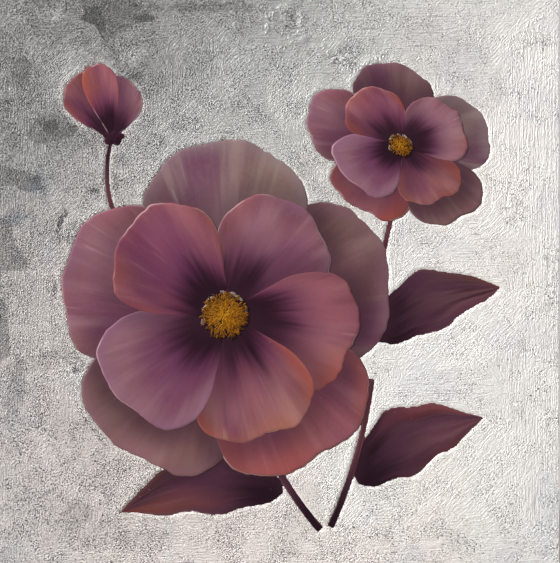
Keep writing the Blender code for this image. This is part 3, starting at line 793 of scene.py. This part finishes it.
def oilPaint(name, look):
    # oil paint laid wet in wet with a soft brush and left to dry to a satin film: colours melt into each
    # other along the strokes, edges are thin drawn lines, and there is hardly any relief
    material, add, setShader = newMaterial(name)
    across, along = (add("SeparateXYZ", add("UVMap", uv_map="UVMap"), out=axis) for axis in ("X", "Y"))

    def strokes(wide, long, shift, detail=2.0):
        # noise drawn out along the film; wide and long count its cells over it
        at = add("CombineXYZ", add("MULTIPLY", across, wide), add("MULTIPLY", along, long),
                 add("ADD", "ownNumber", shift))
        return add("TexNoise", at, 1.0, detail, 0.5)

    hue, other = strokes(2.0, 1.3, 0.0, 1.0), strokes(2.6, 1.1, 7.3, 1.0)
    broad, fine, hair = strokes(6.0, 1.1, 3.1), strokes(19, 1.4, 5.7, 3.0), strokes(52, 2.2, 8.9)
    where = add("TexCoord")
    mottle = add("TexNoise", where, 1 / (1.0 * mm), 2.0, 0.7)
    specks = add("TexNoise", where, 1 / (0.9 * mm), 0.0)
    # a few hair-thin pale marks where a nearly dry brush went over the film
    dragged = add("MULTIPLY", add("MapRange", strokes(64, 1.6, 31.0, 0.0), 0.68, 0.76),
                  add("MapRange", strokes(5, 3, 37.0, 0.0), 0.6, 0.7))
    # warm or violet tint inside the edge, and a glowing patch of red earth beside it, here and there
    tint = add("MULTIPLY", add("MapRange", "rimGap", 0.2, look["edgeWidth"], 0.6, 0.0),
               add("MapRange", other, 0.56, 0.4))
    ember = add("MULTIPLY", add("MapRange", "rimGap", 0.5, 17.0, look["ember"], 0.0),
                add("MapRange", strokes(1.7, 0.9, 23.0, 0.0), 0.52, 0.68))
    # the dark blotch at the base runs out along the strokes, violet where it thins
    ragged = add("MULTIPLY_ADD", fine, -0.2, add("MULTIPLY_ADD", broad, -0.36, along))
    low = look["blotch"] - 0.24
    # inside the drawn brown edge a thin pale line, broken where the brush ran dry
    dry = strokes(5, 4, 12.0)
    line = add("MapRange", add("MULTIPLY_ADD", dry, -0.9, "rimGap"), -0.2, 0.25, look["line"], 0.0)
    line = add("MULTIPLY", line, add("MapRange", dry, 0.44, 0.6))
    shade = layered(add, look["shade"], [
        # broad changes of colour that melt into each other
        (hue, 0.38, 0.6, 0, 1, look["body"]),
        (other, 0.44, 0.68, 0, 0.75, look["light"]),
        (strokes(2.1, 1.6, 13.0, 1.0), 0.46, 0.68, 0, 0.7, look["brown"]),
        (strokes(2.3, 1.2, 17.0, 1.0), 0.48, 0.68, 0, 0.62, look["violet"]),
        # brush strokes, and a faint mottle where the layer below shows through them
        (broad, 0.5, 0.7, 0, 0.4, look["streak"]),
        (broad, 0.48, 0.3, 0, 0.34, look["shade"]),
        (fine, 0.52, 0.72, 0, 0.2, look["streak"]),
        (fine, 0.48, 0.3, 0, 0.17, look["deep"]),
        (hair, 0.58, 0.72, 0, 0.07, look["streak"]),
        (hair, 0.42, 0.3, 0, 0.07, look["deep"]),
        (mottle, 0.5, 0.8, 0, 0.08, look["streak"]),
        (mottle, 0.5, 0.2, 0, 0.08, look["deep"]),
        (add("MULTIPLY", dragged, look["dragged"]), look["streak"]),
        (tint, look["edge"]),
        (ember, look["emberColour"]),
        (ragged, low - 0.25, low + 0.5, 0.78, 0.0, look["violet"]),
        (ragged, low - 0.3, low + 0.27, 0.88, 0.0, look["deep"]),
        (ragged, low - 0.26, low + 0.06, 0.95, 0.0, look["blotchColour"]),
        # painted shadow under whatever lies over this film
        ("underGap", 0.0, look["shadowWidth"], look["shadow"], 0.0, look["shadowColour"]),
        (line, look["lineColour"]),
        ("rimGap", 0.05, 0.42, 0.75, 0.0, look["rimColour"]),
        # specks of dust in the varnish
        (specks, 0.88, 0.92, 0, 0.22, look["dust"]),
    ])
    setShader({"Base Color": shade, "Roughness": 0.52, "IOR": linseedOil, "Specular IOR Level": 0.07,
               "Normal": add("Bump", 0.3, 0.06 * mm, Height=add("MULTIPLY_ADD", hair, 0.4, fine))})
    return material


# colours mixed on the palette, then mm that the edge's tint reaches in, how much red earth glows beside it,
# and how far up the petal the dark blotch reaches
mixes = ("body", "shade", "light", "brown", "streak", "edge", "edgeWidth", "ember", "blotch")
palette = {
    "mauve": ("#855d65", "#6a3f4c", "#976a72", "#76524f", "#a78387", "#825c72", 7.0, 0.25, 0.5),
    "rose": ("#804953", "#623541", "#945b60", "#844d42", "#a26f6f", "#84463f", 7.0, 0.5, 0.5),
    "dusk": ("#755352", "#5d4043", "#865f63", "#6f584e", "#917973", "#76555e", 8.0, 0.0, 0.4),
    "salmon": ("#8c595c", "#72454a", "#99625c", "#925741", "#af8175", "#8e4a3e", 7.0, 0.55, 0.46),
    "pale": ("#8a7270", "#745a5d", "#9d8480", "#776058", "#aa9a90", "#837073", 6.0, 0.0, 0.36),
    "plum": ("#4f2d37", "#361d26", "#633b46", "#513736", "#745153", "#5f3230", 3.0, 0.2, 0.3),
}
shared = {
    "violet": "#612f50", "deep": "#441b36", "blotchColour": "#1f0c17", "line": 0.46, "lineColour": "#b39a97",
    "shadow": 0.44, "shadowColour": "#341c28", "shadowWidth": 11.0,  # mm
    "dragged": 0.34, "emberColour": "#984634", "rimColour": "#4c2f2e", "dust": "#b9a9a6",
}
special = {
    "dusk": {"shadow": 0.7, "line": 0.15}, "pale": {"line": 0.15},
    "plum": {"violet": "#47283c", "deep": "#2f1a24", "shadow": 0.5, "shadowWidth": 5.0, "line": 0.4,
             "lineColour": "#86615f"},
}
paints = {}
for tone, values in palette.items():
    look = {**dict(zip(mixes, values)), **shared, **special.get(tone, {})}
    paints[tone] = oilPaint(f"oil_paint_{tone}", look)
petalTones = {
    "bloom_large": ["dusk", "pale", "mauve", "dusk", "rose", "mauve", "rose", "salmon", "mauve", "rose"],
    "bloom_small": ["pale", "dusk", "mauve", "rose", "dusk", "salmon", "mauve", "rose", "mauve"],
    "bud": ["rose", "mauve", "rose"],
}


def makePetals(bloom):
    # one film for each petal, each a little above the one behind it
    name, behind = bloom["name"], len(bloom["outer"])
    areas = petalAreas[name]
    counts = filmLook["petalPoints" if bloom is largeBloom else "smallPoints"]
    v, u = np.meshgrid(1 - (1 - np.linspace(0, 1, counts[1])) ** 1.35 * 0.96, sides(counts[0]))
    for number, petal in enumerate(bloom["outer"] + bloom.get("inner", [])):
        ring = "outer" if number < behind else "inner"
        thickness = filmLook[ring] + number % behind * filmLook["step"]
        piece = film(f"{name}_petal_{number + 1}", petalGrid(bloom, petal, u, v), areas[number], u, v,
                     thickness, areas[number + 1:], number * 4.37 + len(name), filmLook["petalRidges"])
        dress(piece, paints[petalTones[name][number]],
              f"{name}_{ring}_petals" if "heart" in bloom else "bud_petals")


for bloom in (largeBloom, smallBloom, bud):
    makePetals(bloom)
print("petals painted")


def makeStrokes(items, makeGrid, areas, counts, thickness, covers, first, step, ridgeCount):
    # leaves or stems: one film each, with the painted shadow of what lies over it. Each film's own number
    # starts at first and grows by step, so that no two have the same strokes
    v, u = np.meshgrid(np.linspace(0, 1, counts[0]), sides(counts[1]))
    for number, (name, item) in enumerate(items.items()):
        piece = film(name + "_paint", makeGrid(item, u, v), areas[name], u, v, thickness, covers,
                     first + number * step, ridgeCount)
        dress(piece, paints["plum"], name)


# the outer petals lie over the leaves and stems, and the two long stems over the leaves
blooms = petalAreas["bloom_large"][:5] + petalAreas["bloom_small"][:5]
stemsOver = [line for name, line in stemAreas.items() if name.startswith(("stem_large", "stem_small_l"))]
makeStrokes(leaves, leafGrid, leafAreas, (90, 41), filmLook["leaf"], blooms + stemsOver, 60, 3.3,
            filmLook["leafRidges"])
makeStrokes(stems, stemGrid, stemAreas, (70, 13), filmLook["stem"], blooms, 80, 3.7, filmLook["stemRidges"])
print("leaves and stems painted")


def roundFilm(name, bloom, radius, waviness, waves, thickness, count, node, paint):
    # a round film: a square grid drawn into a circle, then out to a wavy rim about the bloom's middle
    t, s = np.meshgrid(np.linspace(-1, 1, count), np.linspace(-1, 1, count))
    a, b = s * np.sqrt(1 - t * t / 2), t * np.sqrt(1 - s * s / 2)
    share, turn = np.hypot(a, b), np.arctan2(b, a)
    fringe = 0.05 * speckle(np.cos(turn) * 30, np.sin(turn) * 30, 4, 121)
    reach = share * radius * (1 + waviness * np.sin(waves * turn + 0.7) + fringe * share ** 4)
    grid = around(bloom, reach, turn)
    rays = speckle(np.cos(turn) * 9, np.sin(turn) * 9, 1.0, 122)
    rays += 0.6 * speckle(np.cos(turn) * 21, np.sin(turn) * 21, 1.0, 123)
    front = groundFront - groundLook["underPaint"] - thickness * (1 - 0.5 * ease(share, 0.3, 1.0))
    piece = closedRelief(name, *np.moveaxis(grid, -1, 0), front, groundFront, {"share": share, "rays": rays})
    dress(piece, paint, node)


def heartPaint():
    # the darkest paint, dragged outwards from the middle with a nearly dry brush
    material, add, setShader = newMaterial("oil_paint_heart")
    mottle = add("TexNoise", add("TexCoord"), 1 / (2.2 * mm), 3.0)
    warm = add("MULTIPLY", add("MapRange", "share", 0.6, 1.0), add("MapRange", "rays", -0.3, 0.5, 0.0, 0.8))
    shade = layered(add, "#1f0c17", [
        (mottle, 0.35, 0.65, 0, 1, "#2b1220"),
        ("rays", 0.0, 0.7, 0.0, 0.4, "#471b33"),
        (warm, "#3c1a2f"),
    ])
    setShader({"Base Color": shade, "Roughness": 0.48, "IOR": linseedOil, "Specular IOR Level": 0.08,
               "Normal": add("Bump", 0.3, 0.1 * mm, Height=mottle)})
    return material


roundFilms = {
    # bloom, radius in mm, waviness, waves round the rim, thickness in mm, points across, node
    "large_heart": (largeBloom, largeBloom["heart"], 0.05, 9, 0.88, 61, "bloom_large_heart"),
    "small_heart": (smallBloom, smallBloom["heart"], 0.05, 9, 0.84, 41, "bloom_small_heart"),
    "bud_base": (budBase, budBase["radius"], budBase["waviness"], budBase["waves"], 0.62, 31, "bud_calyx"),
}
heart = heartPaint()
for name, values in roundFilms.items():
    roundFilm(name, *values, heart)


def dabs(name, places, turns, sizes, tones, base, node, material):
    # many small strokes of thick paint: a low dome of 25 points, stretched, turned and set down at each
    # place. Places, turns, sizes (half length, half width, height) and tones have one row for each stroke
    ringTurn = np.arange(8) * np.pi / 4
    rings = [(0.55, 0.85), (1.0, 0.25), (1.0, -0.3)]  # reach and height
    unit = np.array([(0, 0, 1)] + [(r * np.cos(t), r * np.sin(t), h) for r, h in rings for t in ringTurn])
    one = np.arange(8)
    after = (one + 1) % 8
    fan = np.stack([np.zeros(8, int), 1 + one, 1 + after], 1).tolist()
    quads = [np.stack([1 + k + one, 9 + k + one, 9 + k + after, 1 + k + after], 1) for k in (0, 8)]
    faces = fan + np.vstack(quads).tolist() + [(17 + one[::-1]).tolist()]
    long, wide = unit[:, 0] * sizes[:, :1], unit[:, 1] * sizes[:, 1:2]
    long = long * (1 - 0.3 * unit[:, 1] ** 2)
    c, s = np.cos(turns)[:, None], np.sin(turns)[:, None]
    x = places[:, :1] + long * c - wide * s
    z = places[:, 1:] + long * s + wide * c
    y = groundFront - base[:, None] - unit[:, 2] * sizes[:, 2:]
    points = np.stack([x, y, z], -1).reshape(-1, 3)
    allFaces = [[i + len(unit) * k for i in face[::-1]] for k in range(len(places)) for face in faces]
    piece = place(name, points, allFaces, {"tone": np.repeat(tones, len(unit))})
    dress(piece, material, node)


def thickPaint(name, dark, middle, light):
    # stiff oil paint put down in single touches: each touch has its own mix of colour, with a soft shine
    material, add, setShader = newMaterial(name)
    mottle = add("TexNoise", add("TexCoord"), 1 / (0.7 * mm), 2.0)
    tone = add("ADD", "tone", add("MULTIPLY_ADD", mottle, 0.5, -0.25))
    shade = layered(add, dark, [(tone, 0.0, 0.5, 0, 1, middle), (tone, 0.5, 1.0, 0, 1, light)])
    setShader({"Base Color": shade, "Roughness": 0.45, "IOR": linseedOil, "Specular IOR Level": 0.12,
               "Normal": add("Bump", 0.4, 0.15 * mm, Height=mottle)})
    return material


ochre = thickPaint("oil_paint_ochre", "#331c04", "#7c4c02", "#a26d04")
offWhite = thickPaint("oil_paint_off_white", "#5d4c4a", "#8a7c74", "#aaa096")
stamenLook = {
    "base": 0.9, "rise": 0.24,  # mm, height of the tuft's feet at its rim, and how much more in its middle
    "stray": 0.5,  # radians by which the touches stray from pointing outwards
    "filamentBase": 0.86,  # mm
    "filamentTurns": [0.35, 0.95, 1.2, 1.65, 2.3, 2.6, 3.4],  # radians round the middle
}


def makeStamens(bloom, seed):
    # a fuzzy tuft: short ochre touches that point outwards, laid from the rim to the middle,
    # over a few longer off-white ones. The sizes are shares of the tuft's radius
    rng = np.random.default_rng(seed)
    radius, count, node = bloom["stamens"], bloom["touches"], bloom["name"] + "_stamens"
    share = np.sqrt(np.linspace(1, 0.004, count))
    turn = rng.uniform(0, 2 * np.pi, count)
    spots = around(bloom, radius * share * rng.uniform(0.86, 1.04, count), turn)
    spans = ((0.08, 0.16), (0.024, 0.044), (0.012, 0.022))
    sizes = radius * np.stack([rng.uniform(low, high, count) for low, high in spans], 1)
    tones = np.clip(0.12 + 0.7 * (1 - share) ** 0.8 + rng.uniform(-0.22, 0.3, count), 0, 1)
    aim = turn + rng.normal(0, stamenLook["stray"], count)
    base = stamenLook["base"] + stamenLook["rise"] * (1 - share)
    dabs(f"{bloom['name']}_tuft", spots, aim, sizes, tones, base, node, ochre)
    few = len(stamenLook["filamentTurns"])
    turn = np.array(stamenLook["filamentTurns"]) + rng.uniform(-0.1, 0.1, few)
    spots = around(bloom, radius * rng.uniform(0.93, 1.04, few), turn)
    sizes = radius * np.stack([rng.uniform(0.16, 0.32, few), rng.uniform(0.06, 0.11, few),
                               np.full(few, 0.012)], 1)
    aim = turn + 1.4 + rng.uniform(-0.5, 0.5, few)
    tones = rng.uniform(0.0, 0.6, few)
    base = np.full(few, stamenLook["filamentBase"])
    dabs(f"{bloom['name']}_filaments", spots, aim, sizes, tones, base, node, offWhite)


makeStamens(largeBloom, 5)
makeStamens(smallBloom, 6)
print("hearts and stamens painted")

# sides and back: bare pine and birch, the gesso's ragged edge, squeezed glue, zinc steel
woodLook = {
    "pineLight": "#d8bd8c", "pineDark": "#b98a52", "birch": "#dcc69c", "birchDark": "#b08c5c",
    "ringWidth": 3.2, "ply": 0.8,  # mm
    "drawn": 0.06, "faceDrawn": 0.05,  # how much the grain is drawn out along pine and along the ply's face
}


def pine(name, lengthwise):
    # planed pine, unsealed: pale yellow early wood with browner rings and fine pores, drawn out lengthwise
    material, add, setShader = newMaterial(name)
    where = add("TexCoord")
    level = lengthwise == "X"
    stretch = woodLook["drawn"]
    drawn = add("Mapping", where, Scale=(stretch, 1, 1) if level else (1, 1, stretch))
    drift = add("TexNoise", drawn, 1 / (16 * mm), 2.0)
    sideways = add("SeparateXYZ", where, out="Z" if level else "X")
    across = add("ADD", add("SeparateXYZ", where, out="Y"), add("MULTIPLY", sideways, 0.7))
    turns = add("MULTIPLY_ADD", drift, 7.0, add("MULTIPLY", across, 1 / (woodLook["ringWidth"] * mm)))
    ring = add("FRACT", turns)
    fibre = add("TexNoise", drawn, 1 / (0.5 * mm), 3.0)
    late = add("MULTIPLY", add("MapRange", ring, 0.35, 0.92), add("MapRange", ring, 1.0, 0.94))
    shade = layered(add, woodLook["pineLight"], [
        (add("MULTIPLY", late, 0.75), woodLook["pineDark"]),
        (fibre, 0.4, 0.7, 0, 0.35, "#c39d66"),
        (add("TexNoise", where, 1 / (28 * mm), 3.0), 0.55, 0.75, 0, 0.3, "#b39468"),  # stains
    ])
    setShader({"Base Color": shade, "Roughness": 0.66, "Specular IOR Level": 0.3,
               "Normal": add("Bump", 0.5, 0.12 * mm, Height=add("MULTIPLY_ADD", late, 0.3, fibre))})
    return material


def birchPly():
    # birch plywood, sanded: a pale face with faint lengthwise grain, and a sawn edge of light and dark plies
    material, add, setShader = newMaterial("birch_plywood")
    where = add("TexCoord")
    facing = add("SeparateXYZ", add("NewGeometry", out="Normal"), out="Y")
    face = add("MapRange", add("ABSOLUTE", facing), 0.6, 0.8)
    drawn = add("Mapping", where, Scale=(woodLook["faceDrawn"], 1, 1))
    grain = add("TexNoise", drawn, 1 / (1.3 * mm), 4.0)
    top = layered(add, woodLook["birch"], [
        (add("TexNoise", drawn, 1 / (9 * mm), 2.0), 0.4, 0.62, 0, 0.45, "#c8a877"),  # veins
        (grain, 0.52, 0.7, 0, 0.4, woodLook["birchDark"]),
    ])
    deep = add("ABSOLUTE", add("SeparateXYZ", where, out="Y"))
    layer = add("MODULO", add("MULTIPLY", deep, 1 / (2 * woodLook["ply"] * mm)), 1.0)
    sawn = add("TexNoise", where, 1 / (0.8 * mm), 3.0)
    dark = add("MULTIPLY", add("MapRange", layer, 0.46, 0.54), add("MapRange", sawn, 0.3, 0.6, 0.6, 1.0))
    edge = layered(add, "#d3b98a", [(dark, "#8f6a42"), (sawn, 0.55, 0.75, 0, 0.5, "#7a5836")])
    setShader({"Base Color": add("Mix", face, edge, top), "Roughness": 0.62, "Specular IOR Level": 0.3,
               "Normal": add("Bump", 0.35, 0.1 * mm, Height=grain)})
    return material


def zincSteel():
    # stamped steel with a bright zinc coat: blue-grey, faintly spangled, with rubbed scratches
    material, add, setShader = newMaterial("zinc_plated_steel")
    where = add("TexCoord")
    flake = add("SeparateXYZ", add("TexVoronoi", where, 1 / (1.6 * mm), out="Color"), out="X")
    rubbed = add("TexNoise", add("Mapping", where, Scale=(0.08, 1, 1)), 1 / (0.35 * mm), 2.0)
    shade = layered(add, "#a7abb0", [(flake, "#c6cacc"), (rubbed, 0.6, 0.75, 0, 0.5, "#80858a")])
    setShader({"Base Color": shade, "Metallic": 1.0, "Normal": add("Bump", 0.3, 0.05 * mm, Height=rubbed),
               "Roughness": add("MapRange", rubbed, 0.3, 0.7, 0.28, 0.45)})
    return material


pineAcross, pineUp = pine("planed_pine_lengthwise_x", "X"), pine("planed_pine_lengthwise_z", "Z")
steel = zincSteel()
finishes = {
    "cradle_bottom": pineAcross, "cradle_top": pineAcross, "cradle_left": pineUp, "cradle_right": pineUp,
    "board": birchPly(), "hanger": steel, "nail_left": steel, "nail_right": steel,
}
for name, material in finishes.items():
    for slot in bpy.data.objects[name].material_slots:
        slot.material = material


def ringPath(half, low, high, corner, step):
    # once round a square with rounded corners, and the outward direction at each point
    line = []
    for cx, cz, first in ((half, low, -90), (half, high, 0), (-half, high, 90), (-half, low, 180)):
        turn = np.radians(first + np.linspace(0, 90, 7))
        inward = np.array([cx - np.sign(cx) * corner, cz + (corner if cz == low else -corner)])
        line.append(inward + corner * np.stack([np.cos(turn), np.sin(turn)], 1))
    line = resample(np.vstack(line), step)
    way = np.roll(line, -1, 0) - np.roll(line, 1, 0)
    out = np.stack([way[:, 1], -way[:, 0]], 1)
    return line, out / np.linalg.norm(out, axis=1)[:, None]


def loopedSkin(name, across, depth, line, out):
    # a closed band round the panel: at each point of the line the same count of section points,
    # given by how far outwards and at what depth they lie; both directions close on themselves
    rows, cols = across.shape
    plane = line[:, None] + out[:, None] * across[..., None]
    points = np.stack([plane[..., 0], depth, plane[..., 1]], -1).reshape(-1, 3)
    index = np.arange(rows * cols).reshape(rows, cols)
    after = np.roll(index, -1, 0)
    faces = np.stack([index, after, np.roll(after, -1, 1), np.roll(index, -1, 1)], -1)
    return place(name, points, faces.reshape(-1, 4).tolist(), sharp=60)


lapLook = {"thick": 0.3, "reach": 2.0, "drip": 3.4, "step": 0.7, "inset": 0.1, "corner": 0.9}  # mm


def makeLap():
    # gesso that ran over the panel's edge: a thin ragged band with a few drips. Its section runs from inside
    # the ground round the panel's corner and down to the band's rim
    inset = lapLook["inset"]
    line, out = ringPath(panelHalf - inset, inset, panelTop - inset, lapLook["corner"], lapLook["step"])
    s = np.arange(len(line)) * lapLook["step"]
    ragged = 0.6 * speckle(s, 0, 11, 131) + 0.4 * speckle(s, 0, 4, 132) + 0.12 * speckle(s, 0, 1.7, 133)
    drips = ease(speckle(s, 0, 5, 134), 0.2, 0.8) * lapLook["drip"] * (0.7 + 0.6 * speckle(s, 0, 13, 136))
    end = groundFront + 1.0 + np.clip(lapLook["reach"] * (1 + ragged), 0.7, None) + drips
    thick = lapLook["thick"] * (0.7 + 0.4 * speckle(s, 1, 2.2, 135))
    front, one = np.full_like(s, groundFront - 0.12), np.ones_like(s)
    across = np.stack([-1.2 * one, -0.5 * one, thick * 0.8, thick, thick * 0.9, thick * 0.8, thick * 0.35,
                       -0.25 * one, -0.4 * one], 1)
    depth = np.stack([front + 0.1, front - 0.06, front - 0.04, front + 0.3, front * 0.6 + end * 0.4,
                      front * 0.25 + end * 0.75, end - 0.1, end, front + 0.6], 1)
    dress(loopedSkin("gesso_lap", across, depth, line, out), gessoLap(), "ground")


def gessoLap():
    # the run-over gesso, chalky white, with scraps of leaf that were brushed on to it
    material, add, setShader = newMaterial("gesso_with_scraps_of_leaf")
    where = add("TexCoord")
    deep = add("SeparateXYZ", where, out="Y")
    rough = add("TexNoise", where, 1 / (0.7 * mm), 2.0)
    nearFront = add("MapRange", deep, (groundFront + 0.3) * mm, (groundFront + 3.0) * mm, 0.25, -0.1)
    scraps = add("TexNoise", where, 1 / (5 * mm), 4.0, 0.6)
    leafed = add("MapRange", add("ADD", scraps, nearFront), 0.5, 0.56)
    shade = layered(add, "#cfc8be", [(rough, 0.35, 0.6, 0, 1, "#e6e1d8"), (leafed, "#dddcda")])
    setShader({"Base Color": shade, "Metallic": add("MULTIPLY", leafed, 0.72),
               "Roughness": add("MapRange", leafed, 0, 1, 0.8, 0.45),
               "Normal": add("Bump", 0.7, 0.4 * mm, Height=rough)})
    return material


glueLook = {"step": 1.3, "size": 0.8, "gap": 0.05, "corner": 1.5}  # mm


def makeGlue():
    # glue squeezed out where the strips meet the board's back: a thin uneven bead in the inner corner
    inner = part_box("cradle_left")[1][0] / mm
    half, middle = -inner + glueLook["gap"], panelTop / 2
    line, out = ringPath(half, middle - half, middle + half, glueLook["corner"], glueLook["step"])
    s = np.arange(len(line)) * glueLook["step"]
    size = glueLook["size"] + 0.45 * speckle(s, 0, 6, 141) + 0.25 * speckle(s, 0, 2, 142)
    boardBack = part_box("board")[1][1] / mm
    one = np.ones_like(size)
    across = np.stack([0.3 * one, 0.05 * one, -size * 0.35, -size, -size * 0.5], 1)
    depth = boardBack + np.stack([-0.2 * one, size, size * 0.45, 0.02 * one, -0.2 * one], 1)
    piece = loopedSkin("glue_bead", across, depth, line, out)
    # yellowish, clear and smooth, with small bubbles
    material, add, setShader = newMaterial("dried_wood_glue")
    cloud = add("TexNoise", add("TexCoord"), 1 / (3 * mm), 2.0)
    setShader({"Base Color": add("Mix", cloud, "#c9a35c", "#e0c486"), "Roughness": 0.3,
               "Normal": add("Bump", 0.4, 0.3 * mm, Height=cloud)})
    piece.data.materials.append(material)


makeLap()
makeGlue()
print("sides and back finished")

# camera, lights and floor
view = {
    "distance": 0.5,  # m from the painted face
    "scale": 0.3535,  # mm of panel in one pixel
    "width": 560,  # pixels
    "rightEdge": 559,  # the pixel column of the panel's right edge
}
halfFrame = view["width"] * view["scale"] / 2 * mm
centreX = panelHalf * mm - (view["rightEdge"] - view["width"] / 2) * view["scale"] * mm
camera = bpy.data.objects.new("camera", bpy.data.cameras.new("camera"))
bpy.context.scene.collection.objects.link(camera)
camera.location = (centreX, groundFront * mm - view["distance"], panelTop / 2 * mm)
camera.rotation_euler = (np.pi / 2, 0, 0)
camera.data.sensor_fit = "HORIZONTAL"  # the frame is taller than it is wide, and this keeps the scale
camera.data.lens = camera.data.sensor_width * view["distance"] / (2 * halfFrame)
camera.data.clip_start = 0.01
bpy.context.scene.camera = camera
lamps = {  # place and target in m, size in m, watts
    "rake": ((-1.4, -0.5, 1.15), (0, 0, 0.1), (0.3, 0.3), 71.0),
    "window": ((0.42, -0.92, 0.42), (0.08, 0, 0.1), (0.5, 0.3), 1.6),
    "table_light": ((0.2, -0.85, 0.8), (0.1, -0.6, 0), (0.5, 0.4), 2.0),
    "fill_back": ((0.4, 1.2, 0.9), (0, 0, 0.1), (1.2, 1.0), 11.0),
}
for name, (spot, target, size, watts) in lamps.items():
    light = bpy.data.lights.new(name, "AREA")
    light.shape = "RECTANGLE"
    light.size, light.size_y = size
    light.energy = watts
    lamp = bpy.data.objects.new(name, light)
    bpy.context.scene.collection.objects.link(lamp)
    lamp.location = spot
    lamp.rotation_euler = (Vector(target) - Vector(spot)).to_track_quat("-Z", "Y").to_euler()
world = bpy.data.worlds.new("studio")
world.use_nodes = True
# the studio's walls look pale, but throw little light on to the panel
walls = world.node_tree.nodes["Background"].inputs
walls["Color"].default_value = colour("#c9c9c9")
seen = addNode(world.node_tree, "LightPath", out="Is Camera Ray")
setInput(world.node_tree, walls["Strength"], addNode(world.node_tree, "MapRange", seen, 0, 1, 0.18, 0.95))
bpy.context.scene.world = world
bpy.context.scene.view_settings.view_transform = "Standard"

bpy.ops.mesh.primitive_plane_add(size=6, location=(0, 0, 0))
floor = bpy.context.active_object
floor.name = "floor"
floorPaint, add, setShader = newMaterial("studio_floor")
# far from the panel the floor glows as pale as the walls, so that it runs into them without a line
fromPanel = add("VectorMath", add("TexCoord"), operation="LENGTH")
setShader({"Base Color": "#aaa8a4", "Roughness": 0.7, "Emission Color": "#c9c9c9",
           "Emission Strength": add("MapRange", fromPanel, 0.7, 2.6, 0.0, 0.85)})
floor.data.materials.append(floorPaint)
floor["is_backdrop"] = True

box = lambda b: [[float(c) for c in corner] for corner in b]
{"cad": box(cadBox), "scene": box(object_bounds())}
print("scene ready")
